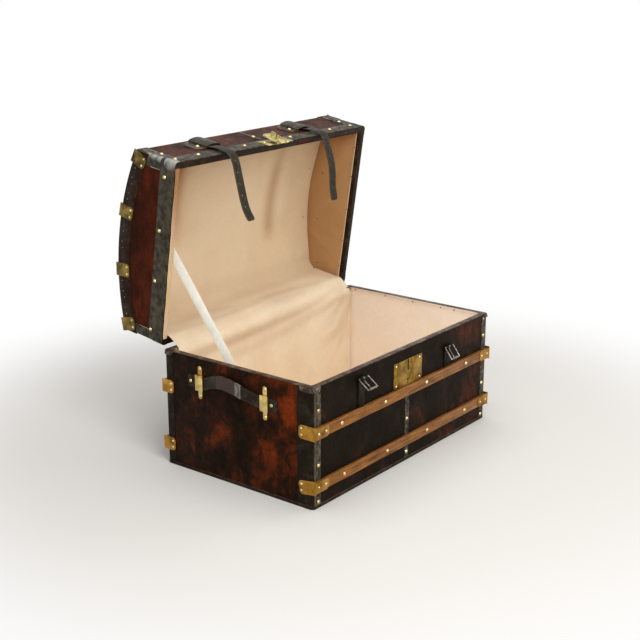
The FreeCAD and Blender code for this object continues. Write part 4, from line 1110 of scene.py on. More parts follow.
@dataclass
class HideCovering:
    """Leather panels on the base and the lid."""

    edge: float = 0.5
    front_reach: float = 386.0
    dome_edge: float = 244.3

    def make(self) -> None:
        """Panels with eased edges."""
        refined("base_end_skins", END_HIDE, self.edge)
        refined("base_wall_skins", WALL_HIDE)
        walls = refined("lid_wall_skins", LID_HIDE)
        second_finish(walls, LID_FRONT_HIDE, lambda at, _: abs(at.x) < self.front_reach)
        dome = refined("lid_dome_skin", LID_HIDE, self.edge)
        second_finish(dome, RAW_EDGE, lambda at, _: abs((CLOSING @ (at * MM)).y) > self.dome_edge * MM)


@dataclass
class Bindings:
    """Leather and tin along the edges, and the gathered leather at the rim's front corners."""

    waviness: float = 0.9
    half_length: float = 400.6
    half_depth: float = 245.6
    corner_radius: float = 10.6
    rim: float = 314.6
    bead: float = 0.8
    foot_edge: float = 6.2

    def make(self) -> None:
        """Every binding, strip and iron."""
        self.wavy("base_corner_bindings", BINDING)
        refined("base_rim_binding", RIM_LEATHER, 0.8, 3)
        feet = refined("base_foot_strips", TIN, 0.3)
        # The top edge of the foot strips is painted paler, as a highlight.
        second_finish(feet, FOOT_TOP_HIGHLIGHT, lambda at, _: at.z > self.foot_edge)
        refined("base_edge_strips", STRIP_TIN, 0.25)
        refined("lid_rim_binding", LID_RIM_LEATHER, 0.8, 3)
        refined("lid_border_bands", BAND_TIN, 0.45)
        refined("lid_dome_bindings", DOME_BINDING, 0.45)
        refined("lid_corner_irons", CORNER_TIN, 0.3)
        self.iron_beads()
        self.turned_in()
        self.gathered_corner(Side.LEFT, "front", 30.0, 15.0, 13.0)
        self.gathered_corner(Side.RIGHT, "front", 16.0, 14.0, 10.0)
        self.gathered_corner(Side.LEFT, "back", 20.0, 12.0, 12.0)
        self.gathered_corner(Side.RIGHT, "back", 16.0, 12.0, 9.0)

    def wavy(self, node: str, finish: Finish) -> None:
        """Hand-cut binding: the free upright edges wander a little.

        Args:
            node: the CAD node of the upright corner bindings.
            finish: what it is made of.
        """
        piece = refined(node, finish)
        sliced(piece, Z, range(20, 310, 14))

        def wander(at: Vector) -> Vector:
            """Moves the free edges along their wall, not off it.

            Args:
                at: a point of the piece, in metres.

            Returns:
                Where it goes.
            """
            drift = self.waviness * MM * (math.sin(at.z * 71 + at.x * 9) + 0.6 * math.sin(at.z * 173 + at.y * 5))
            cut = 0.012 <= at.z <= 0.312
            on_end = abs(at.x) > 0.3975 and abs(at.y) < 0.2200
            on_face = abs(at.y) > 0.2425 and abs(at.x) < 0.3895
            if cut and on_end:
                at.y += drift
            elif cut and on_face:
                at.x += drift * 0.5
            return at

        reshape(piece, wander)
        ease_edges(piece, 0.3 * MM)
        smoothed(piece)

    def iron_beads(self) -> None:
        """Rolled edges along the free sides of the lid's corner irons, rubbed bright."""
        spans = [((side * 396.4, y, 366.5), (side * 396.4, y, 400)) for side in (-1, 1) for y in (-215, 215)]
        spans += [((x, y, 357), (x, y, 441)) for x in (-366, 352) for y in (-246.3, 246.3)]
        master = started(bpy.ops.mesh.primitive_cylinder_add, "iron_bead", vertices=10, radius=1.0, depth=1.0)
        ease_edges(master, 0.2)
        places = []
        for low, high in spans:
            a, b = in_lid(*low), in_lid(*high)
            size = Matrix.Diagonal((self.bead * MM, self.bead * MM, (b - a).length, 1.0))
            places.append(upright_at((a + b) / 2, (b - a).normalized()) @ size)
        piece = repeated(master, places, "lid_iron_beads")
        finished(piece, "lid", SLOTS["lid_corner_irons"], BEAD_TIN)

    def turned_in(self) -> None:
        """Rim leather turned in and glued down inside the lid's right end."""
        piece = block("lid_rim_turn_in_right", (377.0, 0, 322.6), (1.2, 452, 11.2))
        sliced(piece, Y, range(-220, 221, 8))

        def laid(at: Vector) -> Vector:
            """Swung open with the lid, its cut edge wandering a little.

            Args:
                at: a point of the piece, in metres.

            Returns:
                Where it goes.
            """
            if at.z > 0.325:
                at.z += (0.5 * math.sin(at.y * 53) + 0.3 * math.sin(at.y * 131)) * MM
            return LID_SWING @ at

        reshape(piece, laid)
        ease_edges(piece, 0.35 * MM)
        smoothed(piece, 50)
        finished(piece, "lid", "binding", TURNED_LEATHER)

    def gathered_corner(self, side: Side, face: str, along_end: float, along_face: float, drop: float) -> None:
        """Worn rim leather gathered round a corner, with a scalloped lower edge.

        Args:
            side: which end of the trunk.
            face: front or back.
            along_end: how far it runs along the end, in millimetres.
            along_face: how far it runs along the front or back.
            drop: how far it hangs below the rim.
        """
        facing = 1 if face == "front" else -1
        turn = math.pi / 2 * self.corner_radius
        length = along_end + turn + along_face
        piece = block(f"base_rim_gather_{face}_{side.word}", (length / 2, 0, 0), (length, 1.6, 1.0))
        sliced(piece, X, [k * 1.5 for k in range(1, int(length / 1.5))])
        sliced(piece, Z, [k / 7 - 0.5 for k in range(1, 7)])

        def folded(at: Vector) -> Vector:
            """From the flat strip to its place round the corner.

            Args:
                at: a point of the piece, in metres.

            Returns:
                Where it goes.
            """
            along, depth, down = at.x / MM, at.y / MM + 0.8, 0.5 - at.z / MM
            scallop = 0.62 + 0.38 * abs(math.sin(along * 0.36 + 0.4)) ** 0.7
            fade = eased(along / 6) * eased((length - along) / 6)
            pleat = (1.1 + 1.2 * math.sin(along * 0.72 + down * 2.0) + 0.6 * math.sin(along * 1.9)) * fade
            stand = 0.15 + depth * (0.5 + 0.5 * fade) + max(0.0, pleat) * (0.25 + 0.75 * down)
            z = self.rim - down * drop * scallop * (0.45 + 0.55 * fade)
            x, y = self.half_length - self.corner_radius, self.corner_radius - self.half_depth
            radius = self.corner_radius + stand
            if along < along_end:
                x, y = x + radius, y + along_end - along
            elif along < along_end + turn:
                bend = (along - along_end) / self.corner_radius
                x, y = x + radius * math.cos(bend), y - radius * math.sin(bend)
            else:
                x, y = x - (along - along_end - turn), y - radius
            return metres(side.value * x, facing * y, z)

        reshape(piece, folded)
        smoothed(piece, 60)
        finished(piece, "base", "binding", GATHERED_LEATHER)


@dataclass
class SlatsAndClamps:
    """Hardwood slats with brass clamps over their ends."""

    wood_edge: float = 1.1
    brass_edge: float = 0.45

    def make(self) -> None:
        """Slats and clamps of the base and the lid."""
        for node in ("base_front_slats", "base_back_slats", "lid_slats"):
            refined(node, SLAT_WOOD, self.wood_edge)
        refined("base_corner_clamps", BRASS, self.brass_edge, 3)
        refined("lid_clamps", LID_BRASS, self.brass_edge, 3)


@dataclass
class Fasteners:
    """Domed brass nails, small pins and the lining's iron tacks."""

    tack_radius: float = 2.0
    lid_end: float = 376.4
    base_end: float = 378.9
    dome_edge: float = 396.1
    ceiling_radius: float = 689.8
    # X and Y on the lid's ceiling, and on its back wall where Y is over 220; Y and Z on the ends.
    lid_ceiling_tacks: tuple[Pair, ...] = ((364, -79), (360, 74), (371, 228), (-364, -82), (-362, 70), (-371, 226))
    lid_end_tacks: tuple[Pair, ...] = (
        (-74, 452), (70, 453), (206, 415), (-91, 329), (11, 330), (110, 331), (-180, 330), (190, 331),
    )
    base_end_tacks: tuple[Pair, ...] = ((94, 311), (-4, 310), (-101, 310), (-147, 311), (205, 311))

    def make(self) -> None:
        """Nails from the model, tacks over the lining, pins along the dome's edges."""
        for node in ("base_nails", "lid_nails"):
            refined(node, NAIL_BRASS)
        places = []
        for x, y in self.lid_ceiling_tacks:
            z = 420.0 if y > 220 else dome_height(y, self.ceiling_radius) - 0.4
            places.append(LID_SWING @ upright_at(metres(x, min(y, 224), z), -Z))
        base_places, edge_places = [], []
        for end in (side.value for side in Side):
            for y, z in self.lid_end_tacks:
                places.append(LID_SWING @ upright_at(metres(end * self.lid_end, y, min(z, 434)), X * -end))
            base_places += [upright_at(metres(end * self.base_end, y, z), X * -end) for y, z in self.base_end_tacks]
            for k in range(19):
                lean = math.radians(-16.6 + 1.86 * k + 0.5 * (k % 2))
                reach = 691.0 + 2.0 * math.sin(k * 2.3)
                at = in_lid(end * self.dome_edge, reach * math.sin(lean), DOME_AXIS_Z + reach * math.cos(lean))
                edge_places.append(upright_at(at, X * end))
        self.tacks("lid_lining_tacks", places, "lid")
        self.tacks("base_lining_tacks", base_places, "base")
        self.tacks("lid_dome_edge_tacks", edge_places, "lid", DARK_BRASS, 0.8)

    def tacks(
        self, name: str, places: Sequence[Matrix], body: str, finish: Finish = TACK_IRON, share: float = 1.0
    ) -> None:
        """Low-headed tacks.

        Args:
            name: the piece's name.
            places: transforms of the tacks.
            body: what they ride on.
            finish: their metal.
            share: their size beside the usual one.
        """
        radius = self.tack_radius * share * MM
        master = started(bpy.ops.mesh.primitive_uv_sphere_add, "tack", segments=12, ring_count=6, radius=radius)
        settled((1.0, 1.0, 0.45))
        finished(repeated(master, places, name), body, "steel", finish)


@dataclass
class LockAndHasp:
    """Lock plate, case and bolt on the base; hinged hasp on the lid."""

    edge: float = 0.4

    def make(self) -> None:
        """Brass outside, steel inside."""
        plate = refined("lock_plate", LOCK_BRASS, self.edge)
        # The walls of the staple slot and the keyhole take the near-black case iron: painted shade inside the openings.
        second_finish(plate, CASE_IRON, self.in_opening)
        refined("hasp_plate", HASP_BRASS, self.edge)
        refined("hasp_leaf", HASP_BRASS, self.edge)
        refined("hasp_pin", STEEL, 0.2)
        dressed("lock_case", CASE_IRON)
        refined("lock_bolt", STEEL, 0.3)

    def in_opening(self, at: Vector, _: Vector) -> bool:
        """Whether a face of the plate is a wall of the staple slot or the keyhole.

        Args:
            at: the face's middle, in millimetres.
            _: its normal.

        Returns:
            True for a wall of an opening.
        """
        return abs(at.x) < 2.9 and 216 < at.z < 284.9 and -246.3 < at.y < -245.05


@dataclass
class Hinges:
    """Three butt hinges across the back."""

    edge: float = 0.3

    def make(self) -> None:
        """Leaves and pins."""
        refined("hinge_base_leaves", HINGE_IRON, self.edge)
        refined("hinge_lid_leaves", HINGE_IRON, self.edge)
        refined("hinge_pins", STEEL, 0.2)


# ---- soft and sewn parts ----
@dataclass
class EndHandle:
    """Sewn leather handle on one end: two halves that bend where the grip is pulled out."""

    side: Side
    wall: float = 400.0
    centre_y: float = 12.0
    centre_z: float = 248.0
    lean: float = 3.0
    spread: float = 108.0
    width: float = 34.0
    thickness: float = 4.0
    # Its two halves: the way each runs, its name, its length and the CAD node that it stands for.
    halves: tuple[tuple[int, str, float, str], ...] = ((-1, "front", 149.0, "grip"), (1, "rear", 147.5, "tongues"))
    # Along Y from the middle of the handle: rise, stand-off and added thickness.
    stations: tuple[tuple[float, float, float, float], ...] = (
        (-94.0, 0.0, 0.0, 0.0), (-74.0, 3.5, 2.0, 0.5), (-42.0, 12.0, 7.0, 2.0), (-12.0, 20.0, 10.0, 3.0),
        (20.0, 24.0, 11.0, 3.0), (50.0, 18.0, 8.0, 2.0), (76.0, 8.0, 3.0, 0.5), (94.0, 0.0, 0.0, 0.0),
    )

    def line(self, along: float) -> Sequence[float]:
        """Rise, stand-off and added thickness at a place along the handle, smooth between the stations.

        Args:
            along: millimetres from the middle, towards the back.

        Returns:
            The three sizes, in millimetres.
        """
        keys = [station[0] for station in self.stations]
        if not keys[0] < along < keys[-1]:
            return 0.0, 0.0, 0.0
        last = len(keys) - 1
        i = bisect_right(keys, along) - 1
        t = (along - keys[i]) / (keys[i + 1] - keys[i])
        near = (self.stations[min(last, max(0, k))][1:] for k in range(i - 1, i + 3))
        return [
            hermite(t, now, (then - before) / 2 if i else 0.0, then, (after - now) / 2 if i < last - 1 else 0.0)
            for before, now, then, after in zip(*near)
        ]

    def laid(self, along: float, across: float, out: float) -> Vector:
        """Place of a point of the handle.

        Args:
            along: millimetres from the middle, towards the back.
            across: millimetres above the middle line.
            out: 0 on the inner face, 1 on the outer face.

        Returns:
            The point in metres.
        """
        rise, stand, extra = self.line(along)
        puff = extra * (1 - (2 * across / self.width) ** 2) * 0.55
        hollow = 0.3 if abs(along) < self.stations[-1][0] else 0.05
        x = self.wall + hollow + stand + out * (self.thickness + extra * 0.45 + puff)
        z = self.centre_z + self.lean * along / self.spread + rise + across
        return metres(self.side.value * x, self.centre_y + along, z)

    def half(self, name: str, end: int, reach: float) -> Object:
        """One half of the leather, from the middle of the grip to its nailed end.

        Args:
            name: the piece's name.
            end: -1 towards the front, 1 towards the back.
            reach: its length.

        Returns:
            The new object.
        """
        piece = block(name, (0, end * reach / 2, 0), (1.0, reach, self.width))
        far = (reach - 0.1) * MM
        rounded(piece, 9.0, 6, lambda a, b: min(abs(a.y), abs(b.y)) > far and abs(a.z - b.z) < 1e-6)
        sliced(piece, Y, [end * k * 4.0 for k in range(1, int(reach / 4.0))])
        sliced(piece, Z, (-14.5, -11.5, -7.5, -2.5, 2.5, 7.5, 11.5, 14.5))
        reshape(piece, lambda at: self.laid(at.y / MM, at.z / MM, at.x / MM + 0.5))
        ease_edges(piece, 0.9 * MM, 3)
        smoothed(piece, 50)
        return piece

    def band(self, name: str, low: float, high: float, proud: float, pucker: float, finish: Finish) -> Object:
        """A sleeve round the grip.

        Args:
            name: the piece's name.
            low: where it starts along the handle.
            high: where it ends.
            proud: how far it stands off the leather.
            pucker: depth of its wrinkles.
            finish: what it is made of.

        Returns:
            The finished sleeve.
        """
        length, half = high - low, self.width / 2
        piece = block(name, (0, (low + high) / 2, 0), (1.0, length, self.width))
        step = 1.0 if pucker else 2.5
        sliced(piece, Y, [low + k * step for k in range(1, int(length / step))])
        sliced(piece, Z, (-15, -11.5, -7.5, -2.5, 2.5, 7.5, 11.5, 15))
        laid_flat(piece, 2)

        def wrapped(at: Vector) -> Vector:
            """The flat sleeve grown off the handle's surface, with wrinkles across it.

            Args:
                at: a point of the piece, in metres.

            Returns:
                Where it goes.
            """
            along, across, out = at.y / MM, at.z / MM, at.x / MM + 0.5
            edge = min(eased((along - low) / 2.0), eased((high - along) / 2.0))
            wrinkle = pucker * math.sin(along * 2.2 + across * 0.35 + 0.8 * math.sin(across * 0.5)) * edge
            grow = proud * (0.35 + 0.65 * edge) + wrinkle
            spot = self.laid(along, across * (half + grow * 0.6) / half, out)
            spot.x += self.side.value * (grow if out > 0.5 else -0.2) * MM
            return spot

        reshape(piece, wrapped)
        ease_edges(piece, 0.5 * MM)
        smoothed(piece, 50)
        return finished(piece, f"grip_{self.side.word}", "binding", finish)

    def stitching(self, name: str, end: int) -> Object:
        """Two rows of saddle stitches of that name along one half.

        Args:
            name: the piece's name.
            end: -1 towards the front, 1 towards the back.

        Returns:
            The joined stitches.
        """
        master = started(bpy.ops.mesh.primitive_uv_sphere_add, "stitch", segments=6, ring_count=4, radius=1.0)
        settled((0.35 * MM, 1.75 * MM, 0.5 * MM))
        places = []
        for along in accumulate([6.0] + [4.6] * 18):
            for across in (-13.4, 13.4):
                here = self.laid(end * along, across, 1.0)
                ahead = self.laid(end * (along + 1), across, 1.0)
                turn = Y.rotation_difference(ahead - here).to_matrix().to_4x4()
                places.append(Matrix.Translation(here) @ turn)
        return repeated(master, places, name)

    def make(self) -> None:
        """Loops, leather, sleeve, wrapped patch and stitches."""
        handle = f"handle_{self.side.word}"
        refined(f"{handle}_loops", LOOP_BRASS, 0.5)
        bodies = "base", f"grip_{self.side.word}"
        for end, name, reach, node in self.halves:
            span = [metres(self.side.value * self.wall, self.centre_y + end * y, self.centre_z) for y in (96, 78)]
            leather = self.half(f"{handle}_leather_{name}", end, reach)
            bending(leather, bodies, span, "binding", HANDLE_LEATHER, f"{handle}_{node}")
            bending(self.stitching(f"{handle}_stitches_{name}", end), bodies, span, "binding", THREAD)
        self.band(f"{handle}_sleeve", -24.0, 40.0, 0.5, 0.0, SLEEVE)
        self.band(f"{handle}_whipping", -39.0, -22.0, 0.9, 0.35, WHIPPING)


@dataclass
class BuckleStrap:
    """One front strap: its leather on the lid, its tab and buckle on the base."""

    side: Side
    centre: float
    # Y and Z of the hanging part, from the bend.
    fall: tuple[Pair, ...]
    width: float = 27.0
    thickness: float = 2.8
    root: tuple[Pair, ...] = (
        (-247.8, 433.0), (-247.8, 414.0), (-248.0, 395.0), (-250.4, 370.0), (-252.9, 345.0),
    )
    bend: Pair = (-252.5, 321.0)
    first_hole: float = 42.0
    hole_pitch: float = 30.0
    holes: int = 5
    hole_radius: float = 2.4

    def strap(self) -> Object:
        """The strap cut flat with its point and punched holes, then laid along its route."""
        fixed = [in_lid(self.centre, y, z) for y, z in self.root]
        pivot = in_lid(self.centre, *self.bend)
        route = Route(fixed + [pivot + metres(0, y, z) for y, z in self.fall])
        to_bend = Route(fixed + [pivot]).length / MM
        length = route.length / MM
        name = f"strap_{self.side.word}_leather"
        piece = block(name, (0, length / 2, 0), (self.width, length, self.thickness))
        tip = (length - 0.1) * MM
        rounded(piece, 7.0, 4, lambda a, b: min(a.y, b.y) > tip and abs(a.z - b.z) > 1e-4)
        for number in range(self.holes):
            spot = metres(0, to_bend + self.first_hole + number * self.hole_pitch, 0)
            punch = started(
                bpy.ops.mesh.primitive_cylinder_add, "punch", vertices=16, radius=self.hole_radius * MM, depth=0.02,
                location=spot,
            )
            modify(piece, "BOOLEAN", object=punch, operation="DIFFERENCE", solver="EXACT")
            bpy.data.objects.remove(punch)
        sliced(piece, Y, [k * 4.0 for k in range(1, int(length / 4.0))])
        ease_edges(piece, 0.6 * MM)
        laid_flat(piece, 0)

        def lie(at: Vector) -> Vector:
            """From the flat strip to its place on the route, a little cupped across.

            Args:
                at: a point of the piece, in metres.

            Returns:
                Where it goes.
            """
            place, way = route.at(at.y)
            side = Vector((0, -way.z, way.y))
            cup = 0.5 * MM * (2 * at.x / (self.width * MM)) ** 2
            return Vector((self.centre * MM + at.x, place.y, place.z)) + side * (at.z - cup)

        reshape(piece, lie)
        smoothed(piece, 45)
        return piece

    def make(self) -> None:
        """Strap, tab and buckle."""
        word = self.side.word
        pivot = in_lid(self.centre, *self.bend)
        span = pivot + metres(0, 9, 1), pivot + metres(0, -12, -4)
        nodes = (f"strap_{word}_tail",) + (("strap_roots",) if self.side is Side.LEFT else ())
        bending(self.strap(), ("lid", f"strap_{word}"), span, "strap", STRAP, *nodes)
        refined(f"buckle_{word}_tab", TAB_LEATHER, 0.5)
        refined(f"buckle_{word}_frame", NICKEL, 0.2)
        refined(f"buckle_{word}_tongue", NICKEL, 0.3)


@dataclass(frozen=True)
class Fold:
    """A drag line in the cloth: places across and along the sheet, its height off the sheet, its half width, and how
    much it darkens the cloth: dirt along it and painted shade in the hollow beside it.
    """

    line: tuple[Pair, ...]
    height: float
    width: float
    soil: float = 0.0

    def added(self, across: np.ndarray, along: np.ndarray) -> tuple[np.ndarray, np.ndarray]:
        """Height of the fold over a grid, and how much it darkens the cloth, with painted shade in the hollow beside
        it.

        Args:
            across: millimetres across the sheet.
            along: millimetres along the sheet.

        Returns:
            Height in millimetres, and darkening from 0 to 1, dirt and painted shade together.
        """
        best = np.full(across.shape, 1e9)
        fade = np.zeros(across.shape)
        total = sum(math.dist(a, b) for a, b in zip(self.line, self.line[1:]))
        walked = 0.0
        for (ax, ay), (bx, by) in zip(self.line, self.line[1:]):
            dx, dy = bx - ax, by - ay
            length = math.hypot(dx, dy)
            share = np.clip(((across - ax) * dx + (along - ay) * dy) / length**2, 0, 1)
            gap = np.hypot(across - ax - share * dx, along - ay - share * dy)
            at = (walked + share * length) / total
            nearer = gap < best
            best = np.where(nearer, gap, best)
            fade = np.where(nearer, np.clip(at * 7, 0, 1) * np.clip((1 - at) * 2.5, 0, 1), fade)
            walked += length
        shape = hill(best, 0.0, self.width)
        valley = hill(best, 1.5 * self.width, self.width)
        return self.height * shape * fade, self.soil * np.maximum(valley, 0.4 * shape) * fade


@dataclass
class Lining:
    """Glazed cotton glued inside: one length from the base's back wall over the hinges and round the lid,
    and separate cloths for the other walls, the floor and the lid's ends."""

    pitch: float = 5.5
    width: float = 758.0
    half_length: float = 379.5
    half_depth: float = 224.5
    floor_height: float = 19.4
    wall_height: float = 296.4
    base_back: float = 224.6
    lid_back: float = 226.9
    ceiling_radius: float = 690.4
    # Where the cloth over the hinges stands highest: places across and along, in the sheet's own millimetres.
    ridge: tuple[Pair, ...] = (
        (-380, -16), (-250, -9), (-59, -3), (137, 8), (235, 20), (300, 22), (352, 12), (380, 4),
    )
    # Along the sheet, 0 is the top of the base's back wall; the lid's rim is at 40 and its back corner near 150.
    folds: tuple[Fold, ...] = (
        Fold(((372, 0), (306, -105), (212, -132)), 3.4, 15.0, 0.12),
        Fold(((372, -4), (330, -120), (290, -190)), 2.2, 13.0, 0.1),
        Fold(((370, 2), (250, -20), (145, -32), (40, -44)), 2.6, 12.0, 0.14),
        Fold(((150, -34), (-40, -48), (-259, -57), (-330, -66)), 2.2, 15.0, 0.14),
        Fold(((372, 6), (300, -40), (232, -70)), 1.8, 10.0, 0.1),
        Fold(((206, 52), (100, 56), (-27, 50)), 1.8, 12.0, 0.12),
        Fold(((-60, 66), (-190, 72), (-330, 60)), 2.0, 16.0, 0.12),
        Fold(((340, 92), (180, 100), (-20, 96), (-240, 104)), 1.8, 18.0, 0.08),
    )
    # The soft dent down the lid's ceiling, darkened along its length as a painted shadow.
    dent: Fold = Fold(((195, 255), (197, 380), (201, 440), (206, 525), (209, 610)), 1.0, 27.0)
    # Rows of a rim hem: out from the cloth and height on the closed lid, and how pale it is there.
    over_rim: tuple[Point, ...] = (
        (-0.5, 324.4, 0.0), (-0.45, 320.9, 0.0), (-0.3, 318.0, 0.0), (0.1, 317.1, 0.0), (0.9, 316.35, 0.0),
        (4.5, 316.24, 0.0), (8.25, 316.24, 0.0), (12.0, 316.24, 0.16), (14.4, 316.24, 0.94), (15.0, 316.4, 1.0),
    )
    folded_under: tuple[Point, ...] = (
        (-0.45, 337.8, 0.0), (-0.9, 334.2, 0.0), (-1.3, 331.7, 0.1), (-1.75, 329.7, 0.8), (-1.85, 328.5, 1.0),
        (-1.8, 327.6, 1.0), (-1.3, 327.1, 1.0),
    )

    def ceiling(self, y: float) -> Vector:
        """Point on the dome's inside."""
        return in_lid(0, y, dome_height(y, self.ceiling_radius))

    def profile(
        self, corner: Pair, drop: float, crook: float = 0.0, count: int | None = None
    ) -> tuple[np.ndarray, np.ndarray]:
        """Line that the long cloth follows, seen from the end.

        Args:
            corner: height on the lid's back wall where it turns in, and depth on the ceiling where that ends.
            drop: height that the turn is drawn towards.
            crook: 0 for a full round over the hinges, 1 for a tight one.
            count: how many points it is given, worked out from the pitch if none is said.

        Returns:
            Y and Z in metres at an even pitch in the open place, and the distance along in
            millimetres from the top of the base's back wall.
        """
        def bezier(points: Sequence[Vector], steps: int) -> list[Vector]:
            """Points on a cubic or quadratic curve.

            Args:
                points: its three or four control points.
                steps: how many points are wanted.

            Returns:
                The points after the first one.
            """
            out = []
            for k in range(1, steps + 1):
                row = list(points)
                while len(row) > 1:
                    row = [a.lerp(b, k / steps) for a, b in zip(row, row[1:])]
                out.append(row[0])
            return out

        hold = 12 * crook
        low, deep = corner
        wall, back, front = self.base_back, self.lid_back, -self.lid_back
        over_hinges = [metres(0, wall, 297), metres(0, wall, 322 - hold / 2)]
        over_hinges += [in_lid(0, back - 0.3, 309 + hold / 2), in_lid(0, back, 331)]
        line = [metres(0, wall, z) for z in np.arange(19.6, 297, 1.0)] + bezier(over_hinges, 60)
        line += [in_lid(0, back, z) for z in np.arange(332, low, 1.0)]
        line += bezier([in_lid(0, back, low), in_lid(0, back - 0.4, drop), self.ceiling(deep)], 90)
        line += [self.ceiling(y) for y in np.arange(deep - 1, -208, -1.0)]
        line += bezier([self.ceiling(-208), in_lid(0, front, 443), in_lid(0, front, 424)], 30)
        line += [in_lid(0, front, z) for z in np.arange(423, 319, -1.0)]
        points = np.array([[p.y, p.z] for p in line])
        reach = np.concatenate([[0], np.cumsum(np.hypot(*np.diff(points, axis=0).T))])
        even = np.linspace(0, reach[-1], count or int(reach[-1] / (self.pitch * MM)) + 1)
        start = reach[np.argmax(points[:, 1] > HINGE_PIN.z)]
        return np.stack([np.interp(even, reach, points[:, k]) for k in (0, 1)], axis=1), (even - start) / MM

    def relief(
        self, across: np.ndarray, down: np.ndarray, left: np.ndarray, right: np.ndarray
    ) -> tuple[np.ndarray, np.ndarray]:
        """Folds, swellings, dirt and painted shade of the long cloth.

        Args:
            across: millimetres across the sheet, over its grid.
            down: millimetres along the sheet.
            left: where the left edge lies along the sheet.
            right: where the right edge lies.

        Returns:
            Height off the sheet in millimetres, and darkening from 0 to 1, dirt and painted shade together.
        """
        off = down - np.interp(across, *np.array(self.ridge).T)
        swell = np.interp(across, [-380, -250, 0, 220, 330, 380], [7.0, 9.0, 8.0, 6.0, 2.0, 0.0])
        height = swell * np.where(off < 0, hill(off, 0, 20), hill(off, 0, 26))
        # Painted shade in the hollow just under the ridge over the hinges.
        soil = 0.22 * hill(off, -30, 13) * np.interp(across, [-330, -120, 200, 330], [0.6, 1, 0.5, 0.1])
        for fold in self.folds:
            rise, wear_and_painted_light = fold.added(across, down)
            height += rise
            soil += wear_and_painted_light
        # Four slow ripples: their height, and their lengths across and along.
        roll = sum(
            amount * np.sin(across / a + 1.3 * k) * np.sin(down / b + 0.7 * k)
            for k, (amount, a, b) in enumerate(((0.8, 71, 47), (0.5, 33, 61), (0.35, 23, 19), (0.25, 12, 31)))
        )
        height += (roll + 0.6) * np.interp(down, [-290, -250, 150, 700, 760], [0.2, 1.0, 1.0, 0.7, 0.2])
        edge = np.minimum(right - across, left + across)
        height += np.interp(down, [150, 200, 640, 690], [0, 1, 1, 0]) * 3.0 * hill(edge, 0, 9)
        soil += 0.42 * np.exp(-(edge / 16)) * np.interp(down, [-200, 100, 300], [0.15, 0.3, 1.0])
        soil += 0.15 * np.interp(down, [-60, 130], [0, 1]) * np.interp(across, [120, 300], [1.0, 0.0])
        # Darker along a line on the left of the ceiling; painted shade along the front wall towards the rim and in the
        # back corner.
        left_band = 0.95 * np.interp(down, [290, 400, 560, 600], [0.0, 0.6, 1.0, 0.3])
        soil += left_band * np.exp(-(np.abs((across - np.interp(down, [300, 540], [-190, -226])) / 34) ** 1.4))
        soil += 0.62 * hill(down, 668, 55) * np.interp(down, [560, 640], [0, 1])
        soil += 0.16 * hill(down, 168, 34)
        # The lapped seam at the base's right corner.
        height += np.where((across > 366) & (down < -6), 1.0, 0.0)
        soil += 0.4 * hill(across, 365, 1.6) * (down < -6)
        # The dent presses the cloth in and darkens it along its length: a painted shadow.
        dent = self.dent.added(across, down)[0]
        height = np.clip(height - dent * 0.9, -1.6, 16.0) + 0.2
        # It clears the lid's rim binding.
        return np.maximum(height, 3.0 * hill(down, 41, 14)), soil + dent * 0.5

    def long_cloth(self) -> None:
        """The length that joins base and lid, pulled to the right hinge corner."""
        soft, along = self.profile((386.0, 162.0), 440.0)
        crisp = self.profile((418.0, 203.0), 441.5, 1.0, len(soft))[0]
        count = int(self.width / self.pitch)
        share = np.linspace(-1, 1, count)[None, :]
        right = np.interp(along, [-60, -12, 4, 34, 60], [379.6, 379.0, 376.5, 376.0, 377.6])[:, None]
        left = np.interp(along, [-60, -20, 0, 34, 70], [379.6, 376.0, 369.0, 369.0, 377.6])[:, None]
        across = share * np.where(share > 0, right, left)
        down = np.repeat(along[:, None], count, axis=1)
        height, soil = self.relief(across, down, left, right)
        tight = np.interp(across, [-380, -340, 180, 350], [0.7, 0.15, 0.1, 1.0])[:, :, None]
        line = soft[:, None, :] * (1 - tight) + crisp[:, None, :] * tight
        way = np.gradient(line, axis=0)
        way /= np.linalg.norm(way, axis=2, keepdims=True)
        y = line[:, :, 0] - way[:, :, 1] * height * MM
        z = line[:, :, 1] + way[:, :, 0] * height * MM
        flat = np.stack([across * MM, (down - along[0]) * MM], axis=2)
        piece = cloth("lining_long_cloth", np.stack([across * MM, y, z], axis=2), flat, soil)
        span = metres(0, 225, 309), metres(0, 259, 339)
        bending(piece, ("base", "lid"), span, "lining", LINING_COTTON, "hinge_cloth")

    def wall(
        self, name: str, start: Point, run: Vector, inward: Vector, finish: Finish = BASE_COTTON, yellowed: float = 0.0
    ) -> None:
        """One glued wall cloth of the base with its top edge turned over the card.

        Args:
            name: the piece's name.
            start: lower corner, on the left seen from inside, in millimetres.
            run: direction along the wall and its length, in millimetres.
            inward: unit normal into the trunk.
            finish: its cotton.
            yellowed: how much it has darkened where it starts, from 0 to 1.
        """
        length, height = run.length, self.wall_height
        columns = int(length / 8) + 1
        rows = [(z, 0.0) for z in np.linspace(0, height - 3.0, int(height / 8))]
        rows += [(height - 3.0 + 2.6 * math.sin(a), -2.6 + 2.6 * math.cos(a)) for a in np.linspace(0.25, 1.57, 5)]
        rows += [(height - 0.4, -4.0), (height - 2.0, -4.2)]
        climbed = [0.0, *accumulate(math.dist(a, b) for a, b in zip(rows, rows[1:]))]

